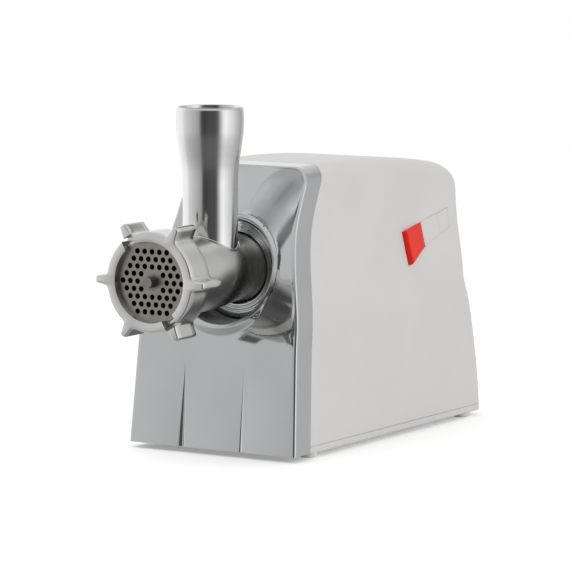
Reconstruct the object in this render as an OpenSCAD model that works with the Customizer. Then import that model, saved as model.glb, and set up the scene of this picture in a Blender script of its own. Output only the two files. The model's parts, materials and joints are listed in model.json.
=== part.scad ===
// Electric meat grinder, millimetres.
// Frame: +Y points from the cutting plate to the back, +X right seen from the front, +Z up.
// The origin is on the table, under the middle of the bounding box.

/* [Overall] */
// Length from the tip of the auger stud to the back wall
total_l = 371.4; // [365:0.2:380]
// How far the stud reaches ahead of the front panel's bottom edge
head_reach = 83.8; // [80:0.2:90]
// Height of the rubber feet
foot_h = 4; // [3:0.5:6]
// Height of the housing's crown above the base plate
body_h = 210.2; // [205:0.2:215]
// Height of the auger's axis above the base plate
axis_h = 133.2; // [132:0.2:135]

/* [Housing] */
// Half width of the housing at its bottom edge
base_half_w = 73.4; // [70:0.2:78]
// Inward draft of the sides, per millimetre of height
side_draft = 0.042; // [0.02:0.002:0.06]
// How far each side is pinched in above the shoulder
pinch = 12.4; // [6:0.2:15]
// Height where the pinch starts
pinch_lo = 88; // [70:1:100]
// Height where the pinch ends
pinch_hi = 175; // [150:1:190]
// Backward lean of the front, per millimetre of height
front_lean = 0.09; // [0.05:0.01:0.12]
// Height where the front starts to sweep back
sweep_lo = 67; // [50:1:90]
// Curvature of the sweep
sweep = 0.00185; // [0.001:0.00005:0.002]
// How far the back is tucked in at the waist
tuck = 16.2; // [8:0.2:18]
// Height of the waist
waist_h = 106; // [90:1:120]
// Radius along the top side edges
top_r = 14; // [8:1:18]
// Radius of the upper back edge
back_top_r = 24; // [15:1:30]
// Radius of the upright back corners
corner_r = 8; // [4:1:12]
// Wall thickness of the housing
wall = 2.8; // [2:0.1:3.5]
// Depth of the chrome panel's return along the sides and top
strip = 22; // [15:1:25]
// Thickness of the base plate's visible edge
base_t = 5; // [4:0.5:7]

/* [Head] */
// Diameter of the cutting plate
plate_d = 62; // [60:1:64]
// Thickness of the cutting plate
plate_t = 5; // [4:0.5:8]
// Diameter of the plate's holes
hole_d = 4.2; // [3:0.1:4.6]
// Distance between neighbouring holes
hole_pitch = 6.33; // [6:0.01:6.6]
// Outer radius of the ring nut
ring_r = 36.8; // [36:0.2:38]
// Length of the ring nut along its axis
ring_l = 25; // [22:0.5:28]
// Number of grip lugs on the ring nut
lug_count = 6; // [4:1:8]
// Outer radius of the barrel
barrel_r = 28; // [27:0.5:30]
// Outer radius of the feed tube's shaft
tube_r = 20.1; // [19:0.1:21]
// Inner radius of the feed tube's shaft
tube_bore_r = 18.3; // [17:0.1:18.5]
// Height of the feed tube's rim above the base plate
tube_top_h = 255.6; // [245:0.2:260]

/* [Gear train] */
// Teeth of the motor pinion
z_motor = 12; // [12:1:14]
// Teeth of the first reduction gear
z_gear_a = 60; // [56:1:60]
// Teeth of the pinion on the first gear
z_pinion_a = 12; // [12:1:13]
// Teeth of the second reduction gear
z_gear_b = 48; // [44:1:48]
// Teeth of the pinion on the second gear
z_pinion_b = 14; // [13:1:15]
// Teeth of the output gear
z_out = 42; // [40:1:44]
// Height of the motor's axis above the base plate
motor_h = 50; // [46:1:54]

/* [Hidden] */
$fn = 96;
eps = 0.02;
gap = 0.15;

nose_y = -total_l / 2;
back_y0 = total_l / 2;
foot_y = nose_y + head_reach;
base_z = foot_h;
axis_z = base_z + axis_h;
crown_y = foot_y + 110;
crown_fall = 0.0005;
waist_rake = 0.24;
waist_ease = 0.0011;
big = 500;

// ---------- housing surface ----------
function smooth(t) = let (u = min(1, max(0, t))) u * u * (3 - 2 * u);
function half_w(h) = base_half_w - side_draft * h
    - pinch * smooth((h - pinch_lo) / (pinch_hi - pinch_lo));
function front_at(h) = foot_y + front_lean * h + sweep * pow(max(0, h - sweep_lo), 2);
function tuck_at(h) = h < waist_h ? tuck * pow(h / waist_h, 2)
    : tuck - waist_rake * (h - waist_h) + waist_ease * pow(h - waist_h, 2);
function back_at(h) = back_y0 - tuck_at(h);
function crown_at(y) = body_h - crown_fall * pow(y - crown_y, 2);
top_back = back_at(body_h - 2 * back_top_r);
round_y = top_back - back_top_r;
function top_at(y) = crown_at(min(y, top_back))
    - (y <= round_y ? 0
        : back_top_r - sqrt(max(0, pow(back_top_r, 2) - pow(min(y, top_back) - round_y, 2))));

levels = [for (h = [0 : 7 : 203]) h];
front_top_y = front_at(body_h);
stations = concat([for (k = [0 : 8]) front_top_y - 4 + k * (round_y - front_top_y + 4) / 8],
    [for (a = [15 : 15 : 90]) round_y + back_top_r * sin(a)]);

// Solid of the housing's outline, each face moved in by inset
module side_walls(inset) {
    translate([0, back_y0 + 1, base_z]) rotate([90, 0, 0]) linear_extrude(total_l)
        polygon(concat([for (h = levels) [half_w(h) - inset, h]],
            [[half_w(body_h) - inset, body_h + 5], [inset - half_w(body_h), body_h + 5]],
            [for (k = [len(levels) - 1 : -1 : 0]) [inset - half_w(levels[k]), levels[k]]]));
}

module front_and_back(inset, floor_h) {
    fronts = [for (h = levels) if (h > floor_h + 1) [front_at(h) + inset * 1.06, h]];
    backs = [for (h = levels) if (h > floor_h + 1 && h < body_h - back_top_r - 12)
        [back_at(h) - inset, h]];
    tops = [for (y = stations) if (y < top_back - 0.1) [min(y, top_back - inset),
        top_at(y) - inset]];
    translate([0, 0, base_z]) rotate([90, 0, 90]) linear_extrude(2 * base_half_w + 2, center = true)
        polygon(concat([[front_at(floor_h) + inset * 1.06, floor_h]], fronts,
            [[front_top_y - 4 + inset, top_at(front_top_y - 4) - inset]], tops,
            [for (k = [len(backs) - 1 : -1 : 0]) backs[k]],
            [[back_at(floor_h) - inset, floor_h]]));
}

// Half space below a plane rolled by t about Y, touching the rounded top side edge
module top_trim(t) {
    edge = half_w(body_h) + 0.6 - top_r;
    points = [for (y = stations) [y, sin(abs(t)) * edge + cos(t) * (top_at(y) - top_r) + top_r]];
    translate([0, 0, base_z]) rotate([0, t, 0]) rotate([90, 0, 90])
        linear_extrude(big, center = true)
            polygon(concat([[-big, -big], [-big, points[0][1]]], points,
                [[big, points[len(points) - 1][1]], [big, -big]]));
}

// Half space in front of an upright plane turned by t, touching the rounded back corner
module corner_trim(t) {
    points = [for (h = levels) [h, sin(abs(t)) * (half_w(h) - corner_r)
        + cos(t) * (back_at(h) - corner_r) + corner_r]];
    translate([0, 0, base_z]) rotate([0, 0, -t]) rotate([0, -90, 0])
        linear_extrude(big, center = true)
            polygon(concat([[-big, -big], [-big, points[0][1]]], points,
                [[big, points[len(points) - 1][1]], [big, -big]]));
}

module body_block() {
    intersection() {
        side_walls(0);
        front_and_back(0, 0);
        top_trim(30);
        top_trim(60);
        top_trim(-30);
        top_trim(-60);
        corner_trim(45);
        corner_trim(-45);
    }
}

module body_hollow(floor_h) {
    intersection() {
        side_walls(wall);
        front_and_back(wall, floor_h);
        top_trim_inner(45);
        top_trim_inner(-45);
    }
}

module top_trim_inner(t) {
    translate([sin(t) * -wall, 0, -wall * cos(t)]) top_trim(t);
}

// Everything behind the chrome panel's rear edge, moved back by offset_y
module behind_strip(offset_y) {
    edge = [for (h = levels) [front_at(h) + strip + offset_y, h]];
    translate([0, 0, base_z]) rotate([90, 0, 90]) linear_extrude(big, center = true)
        polygon(concat([[edge[0][0], -50]], edge, [[front_at(body_h) + strip + offset_y, body_h + 20],
            [big, body_h + 20], [big, -50]]));
}

// ---------- controls on the right side ----------
tray_tilt = 12.6;
tray_h = 142;
tray_y = foot_y + 221.5;
tray_front = -38;
tray_back = 38;
tray_depth = 11;
tray_wall = 1.6;
power_rear = -6.2;
reverse_rear = 21;
button_gap = 0.6;
// Each control's stem: its place on the tray and the radius of its hole
stems = [[-2.5, -22, 4.8], [-7, 7.4, 3.6], [-12.2, 29.5, 3.6]];
pin_r = 1.2;
pin_place = [0.4, -22.1, -2.6];
function tray_upper(y) = 15.4 + 0.168 * y;
function tray_lower(y) = y < -3.5 ? -5 + 0.40 * (y + 3.5) : -5 + 0.275 * (y + 3.5);

module on_side() {
    translate([half_w(tray_h) + 0.3, tray_y, base_z + tray_h]) rotate([0, 90 - tray_tilt, 0])
        children();
}

// Outline between two places along the tray, each edge moved in by inset
module tray_outline(y0, y1, inset) {
    mids = y0 < -3.5 && y1 > -3.5 ? [[-tray_lower(-3.5) - inset, -3.5]] : [];
    polygon(concat([[-tray_upper(y0) + inset, y0 + inset], [-tray_lower(y0) - inset, y0 + inset]],
        mids, [[-tray_lower(y1) - inset, y1 - inset], [-tray_upper(y1) + inset, y1 - inset]]));
}

// ---------- head ----------
ring_front = foot_y - 81.3;
lip_t = 4.4;
plate_y = ring_front + 4.5;
seat_y = plate_y + plate_t;
mouth_y = plate_y + 0.5;
ring_back = ring_front + ring_l;
thread_r = 33.6;
ring_bore_r = 33.95;
opening_r = 29.5;
lug_h = 8.3;
lug_base = 11;
lug_tip = 4;
notch_w = 6.5;
notch_l = 7;
knife_t = 5.5;
knife_y = seat_y + 0.3;
chamber_r = plate_d / 2 + 0.2;
chamber_back = knife_y + knife_t + 0.5;
bore_r = 25.2;
bore_taper_y = foot_y - 5;
bore_end_y = foot_y + 17;
bore_end_r = 19.5;
waist_y = foot_y + 18;
neck_r = 23.5;
flare_y = foot_y + 36;
flare_r = 26.7;
flare_end = foot_y + 39.5;
spigot_r = 24;
spigot_end = foot_y + 45.6;
bayonet_r = 29.6;
bayonet_y = foot_y + 41;
bayonet_t = 4;
drive_hollow_r = 17.5;
wall_end_y = foot_y + 26;
bush_r = 11;
journal_r = 8;
stud_r = 4.1;
tang_w = 12;
tube_y = foot_y + 0.2;
throat_r = tube_bore_r + 0.5;
throat_z = axis_z + 29.3;

// Turns +Z to -Y, so that a revolved outline of [r, -y] lies along the auger's axis
module along_axis() {
    translate([0, 0, axis_z]) rotate([90, 0, 0]) children();
}

// Solid of revolution about the auger's axis from [y, r] pairs
module turned(points) {
    along_axis() rotate_extrude() polygon([for (p = points) [p[1], -p[0]]]);
}

module disc(y0, y1, r) {
    along_axis() translate([0, 0, -y1]) cylinder(h = y1 - y0, r = r);
}

module tube_between(y0, y1, r_out, r_in) {
    difference() {
        disc(y0, y1, r_out);
        disc(y0 - 1, y1 + 1, r_in);
    }
}

// Same as disc, about an axis through [x, height above the base plate]
module disc_at(p, y0, y1, r) {
    translate([p[0], y1, base_z + p[1]]) rotate([90, 0, 0]) cylinder(h = y1 - y0, r = r);
}

// ---------- gear train ----------
m1 = 1;
m2 = 1.25;
m3 = 1.75;
pressure = 25;
backlash = 0.22;
motor_p = [0, motor_h];
out_p = [0, axis_h];
d_motor_a = m1 * (z_motor + z_gear_a) / 2;
d_a_b = m2 * (z_pinion_a + z_gear_b) / 2;
d_b_out = m3 * (z_pinion_b + z_out) / 2;
dir_a = 139;
a_p = motor_p + d_motor_a * [cos(dir_a), sin(dir_a)];
a_to_out = out_p - a_p;
d_a_out = norm(a_to_out);
along_ab = (pow(d_a_b, 2) - pow(d_b_out, 2) + pow(d_a_out, 2)) / (2 * d_a_out);
across_ab = sqrt(pow(d_a_b, 2) - pow(along_ab, 2));
unit_ao = a_to_out / d_a_out;
b_p = a_p + along_ab * unit_ao + across_ab * [unit_ao[1], -unit_ao[0]];
dir_ab = atan2(b_p[1] - a_p[1], b_p[0] - a_p[0]);
dir_bo = atan2(out_p[1] - b_p[1], out_p[0] - b_p[0]);

// Turn that puts a gap of the second gear opposite a tooth of the first one
function mesh_turn(turn1, z1, z2, dir) =
    let (part = (dir - turn1) * z1 / 360)
    dir + 180 - (0.5 - (part - floor(part))) * 360 / z2;
pinion_b_turn = 0;
out_turn = mesh_turn(pinion_b_turn, z_pinion_b, z_out, dir_bo);
gear_b_turn = 0;
pinion_a_turn = mesh_turn(gear_b_turn, z_gear_b, z_pinion_a, dir_ab + 180);
gear_a_turn = 0;
motor_turn = mesh_turn(gear_a_turn, z_gear_a, z_motor, dir_a + 180);

function involute(a) = tan(a) * 180 / PI - a;
// Half angle of a tooth at radius r
function tooth_half(z, m, r) =
    let (base = m * z / 2 * cos(pressure))
    90 / z - backlash / (m * z / 2) * 90 / PI + involute(pressure) - involute(acos(min(1, base / r)));
function polar(r, a) = [r * cos(a), r * sin(a)];
function tooth_points(z, m, a) =
    let (pitch = m * z / 2, base = pitch * cos(pressure), root = pitch - 1.25 * m,
        low = max(base, root + 0.15), tip = pitch + 0.92 * m, mid = (pitch + tip) / 2,
        radii = [low, (low + pitch) / 2, pitch, mid, tip])
    concat([polar(root, a - tooth_half(z, m, low))],
        [for (r = radii) polar(r, a - tooth_half(z, m, r))],
        [for (k = [len(radii) - 1 : -1 : 0]) polar(radii[k], a + tooth_half(z, m, radii[k]))],
        [polar(root, a + tooth_half(z, m, low))]);

module gear_outline(z, m, turn) {
    rotate(turn) polygon([for (k = [0 : z - 1]) each tooth_points(z, m, k * 360 / z)]);
}

// Gear from y0 to y1 about an axis through p = [x, height above the base plate]
module gear(p, y0, y1, z, m, turn) {
    translate([p[0], y1, base_z + p[1]]) rotate([90, 0, 0]) linear_extrude(y1 - y0)
        gear_outline(z, m, turn);
}

case_front = foot_y + 46;
case_wall = 4;
case_back = foot_y + 103;
cover_back = foot_y + 107;
nose_back = foot_y + 60;
gear3_y = foot_y + 62;
gear3_w = 14;
gear2_y = foot_y + 79;
gear2_w = 10;
gear1_y = foot_y + 92;
gear1_w = 8;
shaft_r = 4;
out_shaft_r = 10;
bush_out_r = 6.5;
bearing_r = 21;
run = 0.04;

module case_outline(grow) {
    translate(out_p) circle(r = m3 * z_out / 2 + 4 + grow);
    translate(a_p) circle(r = m1 * z_gear_a / 2 + 3 + grow);
    translate(b_p) circle(r = m2 * z_gear_b / 2 + 3 + grow);
    translate(motor_p) circle(r = 15 + grow);
}

module case_slab(y0, y1, grow) {
    translate([0, y1, base_z]) rotate([90, 0, 0]) linear_extrude(y1 - y0) case_outline(grow);
}

case_bolts = [out_p + 44.6 * [cos(62), sin(62)], out_p + 44.6 * [cos(118), sin(118)],
    a_p + 36.6 * [cos(150), sin(150)], motor_p + 19 * [cos(-60), sin(-60)],
    b_p + 36.6 * [cos(-5), sin(-5)]];

// ---------- motor ----------
fan_y = cover_back + 3.5;
stator_y = foot_y + 129;
stator_l = 46;
stator_w = 76;
stator_hh = 66;
rotor_r = 22;
air_gap = 0.5;
shaft_m_r = 4;
rear_bracket_y = foot_y + 208;
comm_y = foot_y + 186;
comm_l = 18;
comm_r = 12;
post_x = 31;
post_z = 26;
brush_w = 6;
brush_l = 14;

module at_motor(y) {
    translate([0, y, base_z + motor_h]) rotate([90, 0, 0]) children();
}

module four_posts(x, z) {
    for (sx = [-1, 1], sz = [-1, 1]) translate([sx * x, sz * z, 0]) children();
}

// ================= sub-parts =================
foot_x = 65;
foot_ys = [foot_y + 33, foot_y + 266];
foot_r = 6.5;
peg_r = 2.4;
screw_x = 58;
screw_ys = [foot_y + 56, foot_y + 244];
gland_x = -38;
gland_h = 34;
gland_r = 7;
vent_h = [122, 129, 136, 143, 150];
vent_w = 62;

module housing_shell() {
    color("#d6d2cf") {
        difference() {
            intersection() {
                body_block();
                behind_strip(gap);
            }
            body_hollow(-5);
            translate([-big / 2, -big / 2, 0]) cube([big, big, base_z + base_t + gap]);
            on_side() translate([0, 0, -8]) linear_extrude(20)
                tray_outline(tray_front, tray_back, -0.1);
            disc_at([gland_x, gland_h], back_y0 - 30, back_y0 + 1, gland_r + 0.05);
            translate([-vent_w / 2 - 4, back_at(138) - 12, base_z + vent_h[0] - 6])
                cube([vent_w + 8, 30, vent_h[4] - vent_h[0] + 12]);
        }
        difference() {
            for (sx = [-1, 1], y = screw_ys) translate([sx * screw_x, y, base_z + base_t + gap])
                cylinder(h = 30, r = 5, $fn = 32);
            for (sx = [-1, 1], y = screw_ys) translate([sx * screw_x, y, base_z])
                cylinder(h = 24, r = 1.9, $fn = 32);
        }
        for (sx = [-1, 1], y = screw_ys) translate([sx * (screw_x + 8) - 4.5, y - 1.5,
            base_z + base_t + 2]) cube([9, 3, 26]);
    }
}

module front_panel() {
    color("#c9ccce") difference() {
        body_block();
        behind_strip(0);
        body_hollow(-5);
        bezel_frame() translate([0, 0, -40]) cylinder(h = 80, r = bezel_out_r + 0.1);
    }
}

module base_plate() {
    inner_front = foot_y + 3.8;
    color("#d8d5d1") difference() {
        union() {
            intersection() {
                body_block();
                behind_strip(gap);
                translate([-big / 2, -big / 2, 0]) cube([big, big, base_z + base_t]);
            }
            translate([-(base_half_w - wall - 0.8), inner_front, base_z + 1])
                cube([2 * (base_half_w - wall - 0.8), strip, base_t - 1]);
        }
        for (sx = [-1, 1], y = screw_ys) translate([sx * screw_x, y, 0]) {
            cylinder(h = 20, r = 2.1, $fn = 32);
            cylinder(h = base_z + 2.6, r = 4.2, $fn = 32);
        }
        for (sx = [-1, 1], y = foot_ys) translate([sx * foot_x, y, 0])
            cylinder(h = 20, r = peg_r + 0.1, $fn = 32);
        for (k = [0 : 8]) translate([-30, foot_y + 126 + 8 * k, 0]) cube([60, 3.5, 20]);
    }
}

module feet() {
    color("#e2e0da") for (sx = [-1, 1], y = foot_ys) translate([sx * foot_x, y, 0]) {
        cylinder(h = 1, r1 = foot_r - 0.8, r2 = foot_r);
        translate([0, 0, 1]) cylinder(h = foot_h - 1, r = foot_r);
        translate([0, 0, 1]) cylinder(h = foot_h + base_t - 1, r = peg_r, $fn = 32);
    }
}

module base_screws() {
    color("#8d9093") for (sx = [-1, 1], y = screw_ys) translate([sx * screw_x, y, 0])
        difference() {
            union() {
                translate([0, 0, base_z + 0.3]) cylinder(h = 2.3, r = 3.8, $fn = 32);
                translate([0, 0, base_z + 2.5]) cylinder(h = 19, r = 1.85, $fn = 32);
            }
            for (a = [0, 90]) rotate(a) translate([-2, -0.4, 0]) cube([4, 0.8, base_z + 1.5]);
        }
}

module vent_grille() {
    y = back_at(138);
    h0 = vent_h[0] - 6;
    height = vent_h[4] - vent_h[0] + 12;
    lean = -atan((back_at(vent_h[4] + 6) - back_at(h0)) / height);
    color("#c9c6c2") intersection() {
        body_block();
        difference() {
            translate([-vent_w / 2 - 3.9, y - 8, base_z + h0 + 0.1]) cube([vent_w + 7.8, 26, height - 0.2]);
            translate([-vent_w / 2 - 5, back_at(h0) - 3, base_z + h0]) rotate([lean, 0, 0])
                translate([0, -30, -10]) cube([vent_w + 10, 30, height + 20]);
            for (h = vent_h) translate([-vent_w / 2, y - 30, base_z + h - 1.6]) cube([vent_w, 60, 3.2]);
        }
    }
}

module cord_gland() {
    y = back_at(gland_h);
    p = [gland_x, gland_h];
    color("#2b2b2d") difference() {
        union() {
            disc_at(p, y - wall - 2.5, y, gland_r);
            disc_at(p, y - wall - 5.5, y - wall - 1.4, gland_r + 2.5);
        }
        disc_at(p, y - 20, y + 5, 3.6);
    }
}

// ---------- socket ----------
bezel_tilt = 18;
bezel_y = foot_y + 19.8;
bezel_mid_r = 41.9;
bezel_tube_r = 2.3;
bezel_in_r = 39.6;
bezel_out_r = 46;
bezel_skirt = 5.4;
cup_floor_y = foot_y + 38;
cup_r = 38.2;
collar_in_r = 27.5;
collar_out_r = 35.3;
collar_front = foot_y + 35.5;
flange_r = collar_out_r + 4.5;
collar_screw_r = collar_out_r + 2.3;
collar_screws_at = [30, 150, 270];

module bezel_frame() {
    translate([0, bezel_y, axis_z - 0.8]) rotate([90 - bezel_tilt, 0, 0]) children();
}

module socket_bezel() {
    color("#dcdfe0") difference() {
        bezel_frame() rotate_extrude() {
            translate([bezel_mid_r, -bezel_tube_r]) circle(r = bezel_tube_r, $fn = 48);
            polygon([[bezel_in_r, -bezel_skirt], [bezel_out_r, -bezel_skirt], [bezel_out_r, -1],
                [bezel_mid_r + 1, -0.3], [bezel_mid_r, -bezel_tube_r], [bezel_in_r, -bezel_tube_r]]);
        }
        disc(foot_y, cup_floor_y + 20, collar_out_r + 0.3);
    }
}

module socket_cup() {
    color("#55585a") difference() {
        union() {
            intersection() {
                disc(foot_y, cup_floor_y + 2.5, cup_r + 2);
                bezel_frame() translate([0, 0, -100 - bezel_skirt - 0.1]) cylinder(h = 100, r = 60);
            }
            bezel_frame() translate([0, 0, -bezel_skirt - 1.7])
                cylinder(h = 1.6, r = bezel_out_r - 0.4);
        }
        disc(foot_y - 30, cup_floor_y, cup_r);
        disc(foot_y - 30, cup_floor_y + 20, collar_out_r + 0.1);
        bezel_frame() translate([0, 0, -bezel_skirt - 3]) cylinder(h = 10, r = cup_r - 1.5);
    }
}

module socket_collar() {
    color("#cfd2d3") difference() {
        turned([[collar_front, collar_in_r], [collar_front, collar_out_r - 1.5],
            [collar_front + 1.5, collar_out_r], [case_front - 3, collar_out_r],
            [case_front - 3, flange_r], [case_front, flange_r],
            [case_front, collar_in_r]]);
        disc(bayonet_y - 0.5, case_front + 1, bayonet_r + 0.5);
        for (a = [0, 120, 240]) along_axis() rotate(a + 45) translate([0, -6.6, -case_front])
            cube([bayonet_r + 0.4, 13.2, 60]);
        for (a = collar_screws_at) along_axis() rotate(a)
            translate([collar_screw_r, 0, -case_front - 1]) cylinder(h = 20, r = 1.3, $fn = 32);
    }
}

module collar_screws() {
    color("#8d9093") for (a = collar_screws_at) along_axis() rotate(a)
        translate([collar_screw_r, 0, -case_front - 3]) {
            cylinder(h = 6.2, r = 1.2, $fn = 32);
            translate([0, 0, 6.1]) cylinder(h = 1.3, r = 1.9, $fn = 32);
        }
}

// ---------- gearbox ----------
module gearbox_case() {
    color("#b4b6b8") difference() {
        union() {
            difference() {
                case_slab(case_front, case_back, 3);
                case_slab(case_front + case_wall, case_back + 1, 0);
            }
            disc(case_front, nose_back, bearing_r + 3);
            for (p = [a_p, b_p]) disc_at(p, case_front, case_front + 12, bush_out_r + 2.5);
            for (p = case_bolts) disc_at(p, case_back - 20, case_back, 4.5);
        }
        disc(case_front + 2, nose_back + 1, bearing_r + 0.02);
        disc(case_front - 1, case_front + 3, 15);
        for (p = [a_p, b_p]) disc_at(p, case_front + 2, case_front + 20, bush_out_r + 0.02);
        for (p = case_bolts) disc_at(p, case_back - 16, case_back + 1, 1.6);
        for (a = collar_screws_at) along_axis() rotate(a)
            translate([collar_screw_r, 0, -case_front - 4]) cylinder(h = 6, r = 1.25, $fn = 32);
    }
}

module gearbox_cover() {
    color("#a9acae") difference() {
        union() {
            case_slab(case_back + 0.05, cover_back, 3);
            for (p = case_bolts) disc_at(p, case_back + 0.05, cover_back, 4.5);
            disc_at(motor_p, cover_back - 1, cover_back + 1.5, 13);
            disc_at(out_p, case_back - 6, cover_back, 16);
            for (p = [a_p, b_p]) disc_at(p, case_back - 1.5, cover_back - 1, bush_out_r + 2.5);
            translate([-post_x - 6, case_back + 0.05, base_z + motor_h - post_z - 6])
                cube([2 * post_x + 12, cover_back - case_back - 0.05, 2 * post_z + 12]);
        }
        disc_at(motor_p, case_back - 1, cover_back + 2, 11.02);
        disc_at(out_p, case_back - 7, cover_back - 1.5, 13.02);
        for (p = [a_p, b_p]) disc_at(p, case_back - 2, cover_back - 1, bush_out_r + 0.02);
        for (p = case_bolts) disc_at(p, case_back - 1, cover_back + 1, 2.1);
    }
}

module gearbox_screws() {
    color("#8d9093") for (p = case_bolts) {
        disc_at(p, case_back - 12, cover_back + 0.05, 1.55);
        disc_at(p, cover_back + 0.05, cover_back + 2.6, 3.6);
    }
}

module output_bearing() {
    color("#c4c7c9") tube_between(case_front + 2.1, nose_back - 0.2, bearing_r, out_shaft_r + run);
}

module output_rear_bush() {
    color("#b08d57") tube_between(case_back - 6, cover_back - 1.6, 13, out_shaft_r - 2 + run);
}

module gear_shaft_bushes() {
    color("#b08d57") for (p = [a_p, b_p]) {
        difference() {
            disc_at(p, case_front + 2.1, case_front + 11, bush_out_r);
            disc_at(p, case_front, case_front + 12, shaft_r + run);
        }
        difference() {
            disc_at(p, case_back - 1.5, cover_back - 1.1, bush_out_r);
            disc_at(p, case_back - 3, cover_back, shaft_r + run);
        }
    }
}

module drive_shaft() {
    socket_end = foot_y + 44.5;
    color("#9b9ea1") difference() {
        union() {
            disc(foot_y + 29, foot_y + 47, 13.5);
            disc(foot_y + 46, case_back - 7, out_shaft_r);
            disc(case_back - 8, cover_back - 2, out_shaft_r - 2);
        }
        along_axis() translate([-tang_w / 2 - 0.15, -tang_w / 2 - 0.15, -socket_end])
            cube([tang_w + 0.3, tang_w + 0.3, 30]);
    }
}

module output_gear() {
    color("#7d8083") difference() {
        union() {
            gear(out_p, gear3_y, gear3_y + gear3_w, z_out, m3, out_turn);
            disc(gear3_y - 1.5, gear3_y + gear3_w + 2, 17);
        }
        disc(gear3_y - 5, gear3_y + gear3_w + 5, out_shaft_r + 0.005);
        for (k = [0 : 5]) along_axis() rotate(60 * k) translate([25.5, 0, -gear3_y - gear3_w - 5])
            cylinder(h = gear3_w + 10, r = 5);
    }
}

module second_gear() {
    color("#ece8dc") difference() {
        union() {
            gear(b_p, gear2_y, gear2_y + gear2_w, z_gear_b, m2, gear_b_turn);
            gear(b_p, gear3_y - 1, gear3_y + gear3_w + 1, z_pinion_b, m3, pinion_b_turn);
            disc_at(b_p, gear3_y + gear3_w + 0.9, gear2_y + 1, 9);
        }
        disc_at(b_p, gear3_y - 5, gear2_y + gear2_w + 5, shaft_r + 0.005);
    }
}

module second_gear_shaft() {
    color("#a6a9ab") disc_at(b_p, case_front + 3, cover_back - 1.3, shaft_r);
}

module first_gear() {
    color("#ece8dc") difference() {
        union() {
            gear(a_p, gear1_y, gear1_y + gear1_w, z_gear_a, m1, gear_a_turn);
            gear(a_p, gear2_y - 1, gear2_y + gear2_w + 1, z_pinion_a, m2, pinion_a_turn);
            disc_at(a_p, gear2_y + gear2_w + 0.9, gear1_y + 1, 6);
        }
        disc_at(a_p, gear2_y - 5, gear1_y + gear1_w + 5, shaft_r + 0.005);
    }
}

module first_gear_shaft() {
    color("#a6a9ab") disc_at(a_p, case_front + 3, cover_back - 1.3, shaft_r);
}

// ---------- motor pieces ----------
module motor_shaft() {
    color("#a6a9ab") disc_at(motor_p, gear1_y - 1.5, rear_bracket_y + 6, shaft_m_r);
}

module motor_pinion() {
    color("#7d8083") difference() {
        gear(motor_p, gear1_y - 1, gear1_y + gear1_w + 1, z_motor, m1, motor_turn);
        disc_at(motor_p, gear1_y - 5, gear1_y + 30, shaft_m_r + 0.005);
    }
}

module cooling_fan() {
    color("#3a3c3f") difference() {
        union() {
            disc_at(motor_p, fan_y, fan_y + 1.6, 33);
            disc_at(motor_p, fan_y, fan_y + 8, 9);
            for (k = [0 : 9]) at_motor(fan_y + 8) rotate(36 * k) translate([8, -0.8, 0])
                cube([24.5, 1.6, 7.5]);
        }
        disc_at(motor_p, fan_y - 5, fan_y + 20, shaft_m_r + 0.005);
    }
}

module rotor_core() {
    color("#6f7275") difference() {
        disc_at(motor_p, stator_y, stator_y + stator_l, rotor_r);
        disc_at(motor_p, stator_y - 1, stator_y + stator_l + 1, shaft_m_r + 0.005);
        for (k = [0 : 11]) at_motor(stator_y + stator_l + 1) rotate(30 * k)
            translate([rotor_r - 1.2, -0.9, 0]) cube([3, 1.8, stator_l + 2]);
    }
}

module rotor_windings() {
    color("#b5652c") for (y = [stator_y - 9, stator_y + stator_l + 0.1]) difference() {
        disc_at(motor_p, y, y + 8.9, rotor_r - 2.5);
        disc_at(motor_p, y - 1, y + 12, shaft_m_r + 1);
    }
}

module commutator() {
    color("#b87333") difference() {
        disc_at(motor_p, comm_y, comm_y + comm_l, comm_r);
        disc_at(motor_p, comm_y - 1, comm_y + comm_l + 1, shaft_m_r + 0.005);
        for (k = [0 : 23]) at_motor(comm_y + comm_l + 1) rotate(15 * k)
            translate([comm_r - 0.9, -0.3, 0]) cube([2, 0.6, comm_l + 2]);
    }
}

module stator_core() {
    color("#6f7275") at_motor(stator_y + stator_l) difference() {
        linear_extrude(stator_l) difference() {
            intersection() {
                square([stator_w, stator_hh], center = true);
                circle(r = 44);
            }
            circle(r = rotor_r + air_gap);
            for (s = [-1, 1]) translate([0, s * 21]) square([52, 14], center = true);
        }
        four_posts(post_x, post_z) translate([0, 0, -1]) cylinder(h = stator_l + 2, r = 2.2, $fn = 32);
    }
}

module field_windings() {
    color("#b5652c") for (s = [-1, 1])
        at_motor(stator_y + stator_l + 9) linear_extrude(stator_l + 18) difference() {
            translate([0, s * 23.5]) square([48, 8.5], center = true);
            circle(r = rotor_r + 0.8);
        }
}

module motor_front_bearing() {
    color("#c4c7c9") difference() {
        disc_at(motor_p, case_back + 0.3, cover_back + 1.2, 11);
        disc_at(motor_p, case_back - 1, cover_back + 3, shaft_m_r + run);
    }
}

module motor_rear_bearing() {
    color("#c4c7c9") difference() {
        disc_at(motor_p, rear_bracket_y + 0.2, rear_bracket_y + 6.2, 11);
        disc_at(motor_p, rear_bracket_y - 1, rear_bracket_y + 9, shaft_m_r + run);
    }
}

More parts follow.
